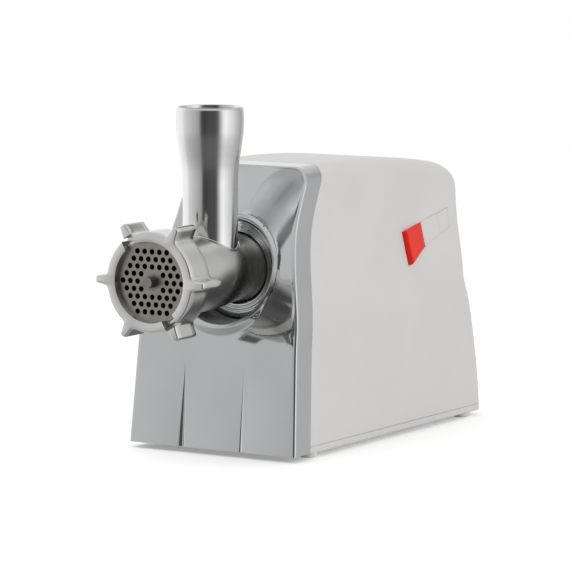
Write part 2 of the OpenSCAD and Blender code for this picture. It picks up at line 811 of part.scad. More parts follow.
module motor_end_bracket() {
    color("#9ea1a4") difference() {
        union() {
            translate([-stator_w / 2, rear_bracket_y, base_z + motor_h - 12]) cube([stator_w, 3, 24]);
            for (sx = [-1, 1]) translate([sx * post_x - 6, rear_bracket_y, base_z + motor_h - post_z - 6])
                cube([12, 3, 2 * post_z + 12]);
            disc_at(motor_p, rear_bracket_y, rear_bracket_y + 7.5, 14);
            for (sx = [-1, 1]) translate([sx * post_x - 4, comm_y + comm_l / 2 + 5,
                base_z + motor_h - 4]) cube([8, rear_bracket_y - comm_y - comm_l / 2 - 4, 8]);
        }
        disc_at(motor_p, rear_bracket_y - 1, rear_bracket_y + 6.3, 11.02);
        disc_at(motor_p, rear_bracket_y, rear_bracket_y + 9, 5.5);
        at_motor(rear_bracket_y + 4) four_posts(post_x, post_z)
            translate([0, 0, -1]) cylinder(h = 8, r = 2.2, $fn = 32);
    }
}

module motor_posts() {
    front = cover_back + 0.05;
    color("#8d9093") at_motor(rear_bracket_y + 6) four_posts(post_x, post_z) {
        cylinder(h = 2.9, r = 3.6, $fn = 32);
        translate([0, 0, 1]) cylinder(h = rear_bracket_y + 5 - front, r = 2.1, $fn = 32);
        translate([0, 0, 6.1]) cylinder(h = rear_bracket_y - stator_y - stator_l - 0.2, r = 4, $fn = 32);
        translate([0, 0, rear_bracket_y + 6.1 - stator_y])
            cylinder(h = stator_y - front - 0.1, r = 4, $fn = 32);
    }
}

module brush_holders() {
    y = comm_y + comm_l / 2;
    z = base_z + motor_h;
    color("#b08d57") for (sx = [-1, 1]) difference() {
        translate([sx > 0 ? comm_r + 1.5 : -comm_r - 25.5, y - 5, z - 5]) cube([24, 10, 10]);
        translate([sx > 0 ? comm_r : -comm_r - 24, y - brush_w / 2 - 0.1, z - brush_w / 2 - 0.1])
            cube([24, brush_w + 0.2, brush_w + 0.2]);
    }
}

module carbon_brushes() {
    y = comm_y + comm_l / 2;
    z = base_z + motor_h;
    color("#2f3032") for (sx = [-1, 1])
        translate([sx > 0 ? comm_r + 0.3 : -comm_r - 0.3 - brush_l, y - brush_w / 2, z - brush_w / 2])
            cube([brush_l, brush_w, brush_w]);
}

module brush_springs() {
    y = comm_y + comm_l / 2;
    z = base_z + motor_h;
    color("#a6a9ab") for (sx = [-1, 1], k = [0 : 5])
        translate([sx * (comm_r + brush_l + 1.2 + 1.4 * k), y, z]) rotate([0, 90, 0])
            rotate_extrude($fn = 32) translate([2.2, 0]) circle(r = 0.4, $fn = 16);
}

// ---------- controls ----------
module switch_tray() {
    color("#d9d6d2") on_side() difference() {
        translate([0, 0, -tray_depth - 2]) linear_extrude(tray_depth + 1.4)
            tray_outline(tray_front, tray_back, 0);
        translate([0, 0, -tray_depth]) linear_extrude(tray_depth + 5)
            tray_outline(tray_front, power_rear, tray_wall / 2);
        translate([0, 0, -tray_depth]) linear_extrude(tray_depth + 5)
            tray_outline(power_rear, reverse_rear, tray_wall / 2);
        translate([0, 0, -tray_depth]) linear_extrude(tray_depth + 5)
            tray_outline(reverse_rear, tray_back, tray_wall / 2);
        for (p = stems) translate([p[0], p[1], -20]) cylinder(h = 20, r = p[2], $fn = 32);
        rocker_pin(26, pin_r + 0.06);
    }
}

// Cross pin that the rocker turns on
module rocker_pin(length, r) {
    translate(pin_place) rotate([0, 90, 0]) cylinder(h = length, r = r, center = true);
}

// Button cap with a stem down to its switch
module button(y0, y1, stem, height, cap_t) {
    translate([0, 0, height - cap_t]) linear_extrude(cap_t)
        tray_outline(y0, y1, tray_wall / 2 + button_gap);
    translate([stem[0], stem[1], -tray_depth - 4]) cylinder(h = tray_depth + 1, r = 3, $fn = 32);
}

module power_rocker() {
    proud = 4.2;
    rise = atan((proud - 0.4) / (power_rear - tray_front));
    color("#e24032") on_side() {
        difference() {
            translate([0, 0, -5]) linear_extrude(5 + proud)
                tray_outline(tray_front, power_rear, tray_wall / 2 + button_gap);
            translate([-40, tray_front, proud]) rotate([-rise, 0, 0]) translate([0, -20, 0])
                cube([80, 80, 20]);
        }
        translate([stems[0][0] - 2, stems[0][1] - 1.6, -tray_depth - 3.2]) cube([4, 3.2, tray_depth]);
        rocker_pin(23.4, pin_r);
    }
}

module power_switch() {
    color("#2b2b2d") on_side() difference() {
        translate([stems[0][0] - 9, stems[0][1] - 12, -32]) cube([18, 24, 32 - tray_depth - 2.1]);
        translate([stems[0][0], stems[0][1], -22]) cylinder(h = 20, r = 5.4, $fn = 32);
    }
}

module reverse_button() {
    color("#dcd9d5") on_side() button(power_rear, reverse_rear, stems[1], 0.2, 4);
}

module reverse_switch() {
    color("#2b2b2d") on_side() difference() {
        translate([stems[1][0] - 8, stems[1][1] - 9, -30]) cube([16, 18, 30 - tray_depth - 2.1]);
        translate([stems[1][0], stems[1][1], -22]) cylinder(h = 20, r = 4.4, $fn = 32);
    }
}

module reset_button() {
    color("#dcd9d5") on_side() button(reverse_rear, tray_back, stems[2], 0.2, 4);
}

module circuit_breaker() {
    color("#3a3c3f") on_side() difference() {
        translate([stems[2][0] - 7, stems[2][1] - 10, -38]) cube([14, 20, 38 - tray_depth - 2.1]);
        translate([stems[2][0], stems[2][1], -22]) cylinder(h = 20, r = 4.4, $fn = 32);
    }
}

module terminal_block() {
    color("#e8e4d8") difference() {
        translate([-46, foot_y + 236, base_z + base_t + 0.05]) cube([14, 30, 16]);
        for (k = [0 : 2]) translate([-39, foot_y + 241.5 + 9.5 * k, base_z + base_t + 8])
            cylinder(h = 20, r = 2.6, $fn = 32);
    }
}

// ---------- head pieces ----------
module barrel() {
    color("#b9bbbc") difference() {
        union() {
            turned([[mouth_y, 0], [mouth_y, thread_r - 1], [mouth_y + 1, thread_r],
                [ring_back + 0.6, thread_r], [ring_back + 7.5, barrel_r], [bore_taper_y, barrel_r],
                [waist_y, neck_r], [flare_y - 7, neck_r + 0.6], [flare_y, flare_r],
                [flare_end, flare_r], [flare_end, spigot_r], [spigot_end, spigot_r],
                [spigot_end, 0]]);
            intersection() {
                disc(bayonet_y, bayonet_y + bayonet_t, bayonet_r);
                along_axis() for (a = [0, 120, 240]) rotate(a) translate([0, -6, -big])
                    cube([bayonet_r + 1, 12, 2 * big]);
            }
        }
        disc(mouth_y - 1, chamber_back, chamber_r);
        turned([[mouth_y - 2, 0], [mouth_y - 2, bore_r], [bore_taper_y, bore_r],
            [bore_end_y, bore_end_r], [bore_end_y, 0]]);
        disc(bore_end_y - 1, wall_end_y + 1, bush_r + 0.02);
        disc(wall_end_y, spigot_end + 1, drive_hollow_r);
        translate([0, tube_y, axis_z]) cylinder(h = 60, r = throat_r);
    }
}

module feed_tube() {
    z0 = axis_z + 10;
    flare_z = base_z + 212;
    cone_z = base_z + 234;
    top_z = base_z + tube_top_h;
    mouth_r = 25.2;
    color("#c3c6c8") difference() {
        translate([0, tube_y, 0]) rotate_extrude() polygon([[throat_r, z0], [tube_r, z0],
            [tube_r, flare_z - 8], [tube_r + 0.5, flare_z], [tube_r + 2, flare_z + 11],
            [mouth_r - 0.9, cone_z - 1], [mouth_r, cone_z + 6], [mouth_r, cone_z + 12],
            [mouth_r - 0.6, top_z - 0.5], [mouth_r - 1.1, top_z], [mouth_r - 2.4, top_z],
            [mouth_r - 2.8, top_z - 0.5], [mouth_r - 2.3, cone_z + 8], [mouth_r - 3, cone_z],
            [tube_bore_r + 1.4, flare_z + 11], [tube_bore_r, flare_z], [tube_bore_r, throat_z],
            [throat_r, throat_z]]);
        disc(foot_y - 60, bore_taper_y, barrel_r + eps);
        turned([[bore_taper_y - 0.1, 0], [bore_taper_y - 0.1, barrel_r + eps],
            [bore_taper_y, barrel_r + eps], [waist_y, neck_r + eps], [waist_y + 9, neck_r + eps],
            [waist_y + 9, 0]]);
    }
}

module barrel_bush() {
    color("#ece8dc") tube_between(bore_end_y, wall_end_y, bush_r, journal_r + run);
}

flight_back = foot_y + 14;
flight_front = chamber_back + 0.8;
flight_turns = 3;

module auger() {
    l = flight_back - flight_front;
    color("#b3b6b7") {
        difference() {
            union() {
                disc(flight_front, flight_back, 10.5);
                intersection() {
                    along_axis() translate([0, 0, -flight_back])
                        linear_extrude(l, twist = -360 * flight_turns, slices = 66, segments = 8)
                            polygon([for (p = [[9, -38], [14, -24], [bore_r, -13], [bore_r, 13],
                                [14, 24], [9, 38]]) polar(p[0], p[1])]);
                    turned([[flight_front, 0], [flight_front, bore_r - 0.5],
                        [bore_taper_y - 0.5, bore_r - 0.5], [bore_end_y - 1, bore_end_r - 0.7],
                        [bore_end_y - 1, 0]]);
                }
                disc(flight_back - 0.1, wall_end_y + 0.5, journal_r);
                disc(knife_y - 0.1, flight_front + 0.1, 7);
                disc(nose_y, knife_y, stud_r);
            }
            difference() {
                disc(knife_y - 1, knife_y + knife_t + 0.1, 8);
                along_axis() translate([-4.6, -4.6, -knife_y - 50]) cube([9.2, 9.2, 100]);
            }
        }
        along_axis() translate([-tang_w / 2, -tang_w / 2, -foot_y - 43.5])
            cube([tang_w, tang_w, 43.5 - 26.4]);
    }
}

module cutter_knife() {
    blade_r = 29.5;
    color("#a8abad") along_axis() translate([0, 0, -knife_y - knife_t]) difference() {
        union() {
            cylinder(h = knife_t - 0.6, r = 12.5);
            for (k = [0 : 3]) rotate(90 * k) linear_extrude(knife_t)
                polygon([[6, -6.5], [20, -6], [blade_r - 1, -3.5], [blade_r, 1.5],
                    [blade_r - 2, 4.5], [18, 3], [8, 9]]);
        }
        translate([-4.7, -4.7, -1]) cube([9.4, 9.4, knife_t + 2]);
    }
}

module cutting_plate() {
    rows = 4;
    color("#9d9a94") along_axis() translate([0, 0, -plate_y - plate_t]) difference() {
        cylinder(h = plate_t, r = plate_d / 2);
        for (i = [-rows : rows], j = [-rows : rows])
            if (abs(i + j) <= rows && max(abs(i), abs(j), abs(i + j)) > 1)
                translate([hole_pitch * (i + j / 2), hole_pitch * j * sin(60), -1])
                    cylinder(h = plate_t + 2, r = hole_d / 2, $fn = 24);
        translate([0, 0, -1]) cylinder(h = plate_t + 2, r = 6.2);
    }
}

module plate_bush() {
    color("#5c5a57") difference() {
        disc(plate_y, seat_y, 6.18);
        disc(plate_y - 1, seat_y + 1, stud_r + 0.05);
    }
}

module ring_lug() {
    translate([0, 0, -ring_back]) linear_extrude(ring_l)
        polygon([[ring_r - 2, -lug_base / 2 - 1.2], [ring_r + 0.8, -lug_base / 2 + 0.6],
            [ring_r + 3, -lug_base / 2 + 2], [ring_r + lug_h - 1, -lug_tip / 2],
            [ring_r + lug_h, -lug_tip / 2 + 1], [ring_r + lug_h, lug_tip / 2 - 1],
            [ring_r + lug_h - 1, lug_tip / 2], [ring_r + 3, lug_base / 2 - 2],
            [ring_r + 0.8, lug_base / 2 - 0.6], [ring_r - 2, lug_base / 2 + 1.2]]);
}

module ring_nut() {
    color("#bfc1c2") difference() {
        union() {
            turned([[ring_front, opening_r], [ring_front, ring_r - 0.8],
                [ring_front + 0.8, ring_r], [ring_back - 1, ring_r], [ring_back, ring_r - 1],
                [ring_back, ring_bore_r], [ring_front + lip_t, ring_bore_r],
                [ring_front + lip_t, opening_r]]);
            along_axis() for (k = [0 : lug_count - 1]) rotate(360 / lug_count * k) ring_lug();
        }
        disc(ring_front - 1, ring_front + lip_t + 0.1, opening_r);
        disc(ring_front + lip_t, ring_back + 1, ring_bore_r);
        for (a = [120, 300]) along_axis() rotate(a) translate([opening_r - 4, 0,
            -ring_front - notch_l]) cube([40, notch_w, notch_l + 1]);
    }
}

housing_shell();
front_panel();
base_plate();
feet();
base_screws();
vent_grille();
cord_gland();
socket_bezel();
socket_cup();
socket_collar();
collar_screws();
gearbox_case();
gearbox_cover();
gearbox_screws();
output_bearing();
output_rear_bush();
gear_shaft_bushes();
drive_shaft();
output_gear();
second_gear();
second_gear_shaft();
first_gear();
first_gear_shaft();
motor_shaft();
motor_pinion();
cooling_fan();
rotor_core();
rotor_windings();
commutator();
stator_core();
field_windings();
motor_front_bearing();
motor_rear_bearing();
motor_end_bracket();
motor_posts();
brush_holders();
carbon_brushes();
brush_springs();
switch_tray();
power_rocker();
power_switch();
reverse_button();
reverse_switch();
reset_button();
circuit_breaker();
terminal_block();
barrel();
feed_tube();
barrel_bush();
auger();
cutter_knife();
cutting_plate();
plate_bush();
ring_nut();
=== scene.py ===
"""Electric meat grinder: the looks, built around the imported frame.

Shapes are worked out in millimetres, in the frame's own axes, and turned into metres when a mesh is made.
+Y runs from the cutting plate to the back, +X is the side with the controls, +Z is up.
"""

import json
import math

import bmesh
import bpy
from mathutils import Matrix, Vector


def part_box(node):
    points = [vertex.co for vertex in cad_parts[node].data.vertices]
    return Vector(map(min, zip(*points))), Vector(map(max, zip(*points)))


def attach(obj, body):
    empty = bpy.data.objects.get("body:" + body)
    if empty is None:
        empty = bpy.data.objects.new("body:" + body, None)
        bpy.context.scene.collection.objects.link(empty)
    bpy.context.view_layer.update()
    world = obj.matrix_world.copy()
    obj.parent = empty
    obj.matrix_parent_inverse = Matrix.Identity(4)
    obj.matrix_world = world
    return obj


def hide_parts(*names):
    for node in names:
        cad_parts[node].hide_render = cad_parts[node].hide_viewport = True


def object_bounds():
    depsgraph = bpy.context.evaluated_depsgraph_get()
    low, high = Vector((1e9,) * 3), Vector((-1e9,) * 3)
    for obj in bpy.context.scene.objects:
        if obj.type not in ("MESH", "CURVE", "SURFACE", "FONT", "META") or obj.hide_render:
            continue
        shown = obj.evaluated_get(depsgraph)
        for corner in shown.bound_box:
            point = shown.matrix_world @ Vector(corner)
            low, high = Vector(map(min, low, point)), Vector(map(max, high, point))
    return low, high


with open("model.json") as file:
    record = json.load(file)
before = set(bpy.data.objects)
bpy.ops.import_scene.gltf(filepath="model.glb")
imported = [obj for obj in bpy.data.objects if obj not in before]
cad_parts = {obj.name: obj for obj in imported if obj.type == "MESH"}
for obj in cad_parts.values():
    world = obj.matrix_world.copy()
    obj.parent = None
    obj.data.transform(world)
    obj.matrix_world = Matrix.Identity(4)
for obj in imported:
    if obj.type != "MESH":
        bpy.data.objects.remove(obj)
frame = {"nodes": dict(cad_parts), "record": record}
cad_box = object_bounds()

MM = 0.001


def box_mm(node):
    """The two corners of a CAD node's box."""
    low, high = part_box(node)
    return low / MM, high / MM


# ---------- places, from the frame ----------
FOOT_Y = box_mm("front_panel")[0].y
BASE_Z = box_mm("base_plate")[0].z
BACK_Y = cad_box[1].y / MM
RING_FRONT, RING_BACK = [corner.y for corner in box_mm("ring_nut")]
AXIS_Z = sum(corner.z for corner in box_mm("cutting_plate")) / 2
TUBE_Y = sum(corner.y for corner in box_mm("feed_tube")) / 2


# ---------- camera, light and floor ----------
CAMERA_AZIMUTH = 31.88
CAMERA_PITCH = 6.644
CAMERA_PLACE = (1.4276, -2.2926, 0.4320)
CAMERA_LENS = 224.76


def make_camera():
    data = bpy.data.cameras.new("camera")
    data.sensor_width = 36
    data.lens = CAMERA_LENS
    data.clip_start, data.clip_end = 0.1, 100
    camera = bpy.data.objects.new("camera", data)
    camera.location = CAMERA_PLACE
    camera.rotation_euler = (math.radians(90 - CAMERA_PITCH), 0, math.radians(CAMERA_AZIMUTH))
    bpy.context.scene.collection.objects.link(camera)
    bpy.context.scene.camera = camera


class Nodes:
    """Short calls for a node tree: each one adds a node, sets its inputs and returns its first output."""

    def __init__(self, tree):
        self.tree = tree

    def add(self, kind, out=0, settings=None, **inputs):
        node = self.tree.nodes.new(kind)
        for key, value in (settings or {}).items():
            setattr(node, key, value)
        for key, value in inputs.items():
            name = key.replace("_", " ")
            socket = node.inputs[int(key[1:])] if key[0] == "i" and key[1:].isdigit() else node.inputs[name]
            if isinstance(value, bpy.types.NodeSocket):
                self.tree.links.new(value, socket)
            else:
                socket.default_value = value
        return node.outputs[out]

    def math(self, operation, a, b=0.0, c=0.0):
        return self.add("ShaderNodeMath", settings={"operation": operation}, i0=a, i1=b, i2=c)

    def mix(self, share, a, b):
        """a where share is 0, b where it is 1."""
        return self.add("ShaderNodeMix", settings={"data_type": "FLOAT"}, i0=share, i2=a, i3=b)

    def ramp(self, value, low, high, to_low=0.0, to_high=1.0):
        """Smooth step of value between low and high."""
        return self.add("ShaderNodeMapRange", settings={"interpolation_type": "SMOOTHSTEP"}, Value=value,
                        From_Min=low, From_Max=high, To_Min=to_low, To_Max=to_high)


# Brightness of the tent by azimuth from the front, in degrees, positive towards the side with the controls:
# the opening for the camera is dark, and a soft box stands on each side
TENT = [(-180, 0.70), (-150, 0.95), (-110, 1.20), (-80, 1.20), (-60, 0.86), (-40, 0.72), (-20, 0.58),
        (-6, 0.46), (4, 0.10), (12, 0.06), (30, 0.09), (52, 0.10), (60, 0.18), (69, 0.60), (79, 1.15),
        (90, 1.30), (105, 1.08), (120, 0.92), (135, 0.72), (148, 0.62), (162, 0.50), (180, 0.70)]
TENT_PEAK = 2.0
TENT_TOP = 0.76
TENT_TOP_FROM, TENT_TOP_TO = 22, 48
TENT_LOW = 0.12
TENT_LOW_SHARE = 0.45
TENT_LOW_FROM, TENT_LOW_TO = -8, -28


def make_world():
    """A light tent: white to the eye, with soft boxes and a darker opening for the metal to mirror."""
    world = bpy.data.worlds.new("studio")
    bpy.context.scene.world = world
    world.use_nodes = True
    tree = world.node_tree
    tree.nodes.clear()
    n = Nodes(tree)
    way = n.add("ShaderNodeTexCoord")
    split = tree.nodes.new("ShaderNodeSeparateXYZ")
    tree.links.new(way, split.inputs[0])
    x, y, z = split.outputs
    # The azimuth as a share of a full turn, with the front in the middle
    azimuth = n.math("MULTIPLY_ADD", n.math("ARCTAN2", x, n.math("MULTIPLY", y, -1.0)), 0.5 / math.pi, 0.5)
    height = n.math("MULTIPLY", n.math("ARCSINE", z), 180 / math.pi)
    tent = tree.nodes.new("ShaderNodeValToRGB")
    tent.color_ramp.interpolation = "EASE"
    stops = tent.color_ramp.elements
    for turn, level in TENT[1:-1]:
        stops.new(turn / 360 + 0.5)
    for stop, (turn, level) in zip(stops, TENT):
        stop.position = turn / 360 + 0.5
        stop.color = (level / TENT_PEAK, level / TENT_PEAK, level / TENT_PEAK, 1)
    tree.links.new(azimuth, tent.inputs[0])
    level = n.math("MULTIPLY", tent.outputs[0], TENT_PEAK)
    level = n.mix(n.ramp(height, TENT_TOP_FROM, TENT_TOP_TO), level, TENT_TOP)
    low = n.math("MULTIPLY_ADD", level, TENT_LOW_SHARE, TENT_LOW)
    level = n.mix(n.ramp(height, TENT_LOW_TO, TENT_LOW_FROM, 1.0, 0.0), level, low)
    seen_by_camera = n.add("ShaderNodeLightPath")
    brightness = n.mix(seen_by_camera, level, 1.0)
    background = n.add("ShaderNodeBackground", Color=(1, 1, 1, 1), Strength=brightness)
    output = tree.nodes.new("ShaderNodeOutputWorld")
    tree.links.new(background, output.inputs[0])


# Soft boxes: place and size in metres, power in watts, tint
LIGHTS = {"key": ((-0.9, -1.6, 2.2), 1.6, 15, (1.0, 0.99, 0.97)),
          "fill": ((2.6, -0.6, 1.0), 1.6, 22, (0.98, 0.99, 1.0)),
          "top": ((0.2, 0.3, 2.6), 2.2, 3, (1, 1, 1))}
AIM = Vector((0, 0, 0.1))


def make_lights():
    for name, (place, size, power, tint) in LIGHTS.items():
        data = bpy.data.lights.new(name, "AREA")
        data.shape = "SQUARE"
        data.size = size
        data.energy = power
        data.color = tint
        light = bpy.data.objects.new(name, data)
        light.location = place
        light.visible_glossy = False
        light.rotation_euler = (AIM - Vector(place)).to_track_quat("-Z", "Y").to_euler()
        bpy.context.scene.collection.objects.link(light)


FLOOR_RADIUS = 0.75


def make_floor(material):
    """A round white floor: it ends where it is as white as the tent behind it."""
    bpy.ops.mesh.primitive_circle_add(vertices=96, radius=FLOOR_RADIUS, fill_type="NGON", location=(0, 0, 0))
    floor = bpy.context.object
    floor.name = "floor"
    floor.data.materials.append(material)
    floor.visible_glossy = False


# ---------- materials ----------
# Each material's two tones, its roughness, and the sizes of its patches and grain in millimetres
LOOKS = {
    "white_plastic": dict(light=(0.635, 0.613, 0.596), dark=(0.622, 0.60, 0.584), metallic=0,
                          rough=0.40, spread=0.04, patch=60, grain=0.5, bump=0.006),
    "red_plastic": dict(light=(0.79, 0.022, 0.008), dark=(0.75, 0.018, 0.006), metallic=0,
                        rough=0.34, spread=0.04, patch=20, grain=0.5, bump=0.003, specular=0.25),
    "dark_plastic": dict(light=(0.035, 0.035, 0.04), dark=(0.025, 0.025, 0.03), metallic=0,
                         rough=0.45, spread=0.06, patch=10, grain=0.4, bump=0.01),
    "nylon": dict(light=(0.78, 0.75, 0.66), dark=(0.74, 0.71, 0.62), metallic=0,
                  rough=0.5, spread=0.05, patch=12, grain=0.5, bump=0.006),
    "foot_rubber": dict(light=(0.74, 0.73, 0.70), dark=(0.68, 0.67, 0.64), metallic=0,
                        rough=0.7, spread=0.05, patch=6, grain=0.4, bump=0.02),
    "chrome": dict(light=(0.62, 0.63, 0.635), dark=(0.60, 0.61, 0.615), metallic=1,
                   rough=0.06, spread=0.02, patch=50, grain=3, bump=0.001),
    "cast_aluminium": dict(light=(0.74, 0.735, 0.715), dark=(0.725, 0.72, 0.70), metallic=1,
                           rough=0.25, spread=0.012, patch=25, grain=0.3, bump=0.0015),
    "polished_steel": dict(light=(0.70, 0.70, 0.70), dark=(0.66, 0.66, 0.66), metallic=1,
                           rough=0.13, spread=0.03, patch=25, grain=0.4, bump=0.002, stretch=(1, 1, 4)),
    "steel": dict(light=(0.60, 0.60, 0.59), dark=(0.52, 0.52, 0.51), metallic=1,
                  rough=0.3, spread=0.06, patch=10, grain=0.4, bump=0.004),
    "plate_steel": dict(light=(0.37, 0.36, 0.315), dark=(0.32, 0.31, 0.27), metallic=1,
                        rough=0.36, spread=0.06, patch=8, grain=0.25, bump=0.006),
    # Painted shade: the cutter knife is made near black, far darker than steel, so that the plate's holes
    # look black
    "knife_painted_shade": dict(light=(0.06, 0.06, 0.06), dark=(0.045, 0.045, 0.045), metallic=1,
                        rough=0.45, spread=0.06, patch=10, grain=0.4, bump=0.004),
    # The auger: partly its stud's own grey, partly painted shade that keeps the plate's holes dark
    "auger_grey_and_painted_shade": dict(light=(0.32, 0.31, 0.29), dark=(0.27, 0.26, 0.245), metallic=1,
                       rough=0.4, spread=0.06, patch=10, grain=0.4, bump=0.006),
    "dark_bush": dict(light=(0.30, 0.29, 0.26), dark=(0.24, 0.23, 0.21), metallic=1,
                      rough=0.4, spread=0.06, patch=5, grain=0.3, bump=0.01),
    "cup_grey": dict(light=(0.20, 0.20, 0.20), dark=(0.15, 0.15, 0.15), metallic=1,
                     rough=0.18, spread=0.05, patch=20, grain=0.5, bump=0.002),
    "bronze": dict(light=(0.55, 0.40, 0.20), dark=(0.45, 0.32, 0.16), metallic=1,
                   rough=0.4, spread=0.06, patch=4, grain=0.3, bump=0.01),
    "copper": dict(light=(0.55, 0.24, 0.09), dark=(0.44, 0.18, 0.06), metallic=1,
                   rough=0.35, spread=0.08, patch=5, grain=0.6, bump=0.05, stretch=(1, 6, 1)),
    "lamination": dict(light=(0.30, 0.31, 0.32), dark=(0.22, 0.23, 0.24), metallic=1,
                       rough=0.5, spread=0.06, patch=8, grain=0.5, bump=0.05, stretch=(0.1, 8, 0.1)),
    "carbon": dict(light=(0.03, 0.03, 0.032), dark=(0.02, 0.02, 0.022), metallic=0.3,
                   rough=0.6, spread=0.05, patch=4, grain=0.3, bump=0.01),
    "floor": dict(light=(0.90, 0.90, 0.90), dark=(0.88, 0.88, 0.88), metallic=0,
                  rough=0.7, spread=0.05, patch=400, grain=30, bump=0.02, glow=0.28),
}
OBJECT_OUTPUT = 3
LEAST_ROUGH = 0.02


def make_material(name, light, dark, metallic, rough, spread, patch, grain, bump, stretch=(1, 1, 1),
                  specular=0.5, glow=0.0):
    """Two tones mixed in soft patches, roughness that varies with them, and a fine grain in the surface."""
    material = bpy.data.materials.new(name)
    material.use_nodes = True
    tree = material.node_tree
    tree.nodes.clear()
    n = Nodes(tree)
    place = n.add("ShaderNodeTexCoord", out=OBJECT_OUTPUT)
    stretched = n.add("ShaderNodeMapping", Vector=place, Scale=stretch)
    patches = n.add("ShaderNodeTexNoise", Vector=place, Scale=1 / (patch * MM), Detail=3.0)
    grains = n.add("ShaderNodeTexNoise", Vector=stretched, Scale=1 / (grain * MM), Detail=2.0)
    colour = n.add("ShaderNodeMix", out=2, settings={"data_type": "RGBA"}, i0=n.ramp(patches, 0.35, 0.65),
                   i6=(*dark, 1), i7=(*light, 1))
    both = n.math("ADD", n.math("MULTIPLY", patches, 0.6), n.math("MULTIPLY", grains, 0.4))
    roughness = n.ramp(both, 0.3, 0.7, max(rough - spread, LEAST_ROUGH), rough + spread)
    surface = n.add("ShaderNodeBump", Height=grains, Distance=bump * MM, Strength=1.0)
    shader = n.add("ShaderNodeBsdfPrincipled", Base_Color=colour, Metallic=metallic, Roughness=roughness,
                   Normal=surface)
    shader.node.inputs["Specular IOR Level"].default_value = specular
    if glow:
        shader.node.inputs["Emission Color"].default_value = (1, 1, 1, 1)
        seen_by_camera = n.add("ShaderNodeLightPath")
        tree.links.new(n.math("MULTIPLY", seen_by_camera, glow), shader.node.inputs["Emission Strength"])
    output = tree.nodes.new("ShaderNodeOutputMaterial")
    tree.links.new(shader, output.inputs[0])
    return material


# ---------- shapes: points in millimetres ----------
WELD_GAP = 0.002


def new_mesh(name, points, faces, weld=False):
    """A mesh in metres with its faces turned outwards."""
    mesh = bpy.data.meshes.new(name)
    mesh.from_pydata([(x * MM, y * MM, z * MM) for x, y, z in points], [], faces)
    work = bmesh.new()
    work.from_mesh(mesh)
    if weld:
        bmesh.ops.remove_doubles(work, verts=work.verts, dist=WELD_GAP * MM)
    bmesh.ops.recalc_face_normals(work, faces=work.faces)
    work.to_mesh(mesh)
    work.free()
    return mesh


def add_piece(name, points, faces, slot_name, body, nodes=()):
    """A mesh piece that rides on a body and stands for CAD nodes; shade() comes after its last cut."""
    mesh = new_mesh(name, points, faces, weld=True)
    piece = bpy.data.objects.new(name, mesh)
    bpy.context.scene.collection.objects.link(piece)
    mesh.materials.append(materials[slot_name])
    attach(piece, body)
    if nodes:
        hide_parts(*nodes)
    return piece


def shade(piece, sharp):
    """Smooth shading, with an edge wherever two faces meet at more than sharp degrees."""
    piece.data.shade_smooth()
    piece.data.set_sharp_from_angle(angle=math.radians(sharp))


def bake(piece):
    """Puts the piece's modifiers into its mesh."""
    bpy.context.view_layer.update()
    graph = bpy.context.evaluated_depsgraph_get()
    mesh = bpy.data.meshes.new_from_object(piece.evaluated_get(graph))
    piece.modifiers.clear()
    piece.data = mesh


def give_wall(piece, thickness):
    """Turns an open surface into a shell with its thickness inwards."""
    wall = piece.modifiers.new("wall", "SOLIDIFY")
    wall.thickness = thickness * MM
    wall.offset = -1
    bake(piece)


def cut(piece, *cutters):
    """Takes closed solids, each given as points and faces, out of a closed piece."""
    for points, faces in cutters:
        mesh = new_mesh("cutter", points, faces)
        cutter = bpy.data.objects.new("cutter", mesh)
        bpy.context.scene.collection.objects.link(cutter)
        change = piece.modifiers.new("cut", "BOOLEAN")
        change.operation = "DIFFERENCE"
        change.solver = "EXACT"
        change.object = cutter
        bake(piece)
        bpy.data.objects.remove(cutter)
        bpy.data.meshes.remove(mesh)


def grid_faces(rows, columns, wrap_rows, wrap_columns):
    """Faces between neighbouring points of a grid, which may close on itself either way."""
    faces = []
    for i in range(rows if wrap_rows else rows - 1):
        for j in range(columns if wrap_columns else columns - 1):
            a, b = i * columns, (i + 1) % rows * columns
            k = (j + 1) % columns
            faces.append((a + j, a + k, b + k, b + j))
    return faces


def loft(rows, wrap_rows=True, wrap_columns=True):
    """Rows of points, each with the same count, joined into one surface."""
    return [p for row in rows for p in row], grid_faces(len(rows), len(rows[0]), wrap_rows, wrap_columns)


def joined(*shapes):
    """Several shapes as one: all their points, then all their faces."""
    points, faces = [], []
    for more_points, more_faces in shapes:
        start = len(points)
        points += more_points
        faces += [tuple(start + k for k in face) for face in more_faces]
    return points, faces


def axis_place(y, r, turn):
    """Point at a turn about the auger's axis."""
    return r * math.cos(turn), FOOT_Y + y, AXIS_Z + r * math.sin(turn)


def tube_place(z, r, turn):
    """Point at a turn about the feed tube's axis."""
    return r * math.cos(turn), TUBE_Y + r * math.sin(turn), BASE_Z + z


def turned_place(turn):
    """Places points given as outwards, across and along the auger's axis, at a turn in degrees about it."""
    a = math.radians(turn)
    return lambda x, y, z: (x * math.cos(a) - y * math.sin(a), z,
                            AXIS_Z + x * math.sin(a) + y * math.cos(a))


def full_turn(steps):
    return [2 * math.pi * k / steps for k in range(steps)]


def revolve(outline, place, steps=144):
    """Closed ring from a closed outline of (along, radius)."""
    return loft([[place(along, r, turn) for turn in full_turn(steps)] for along, r in outline])


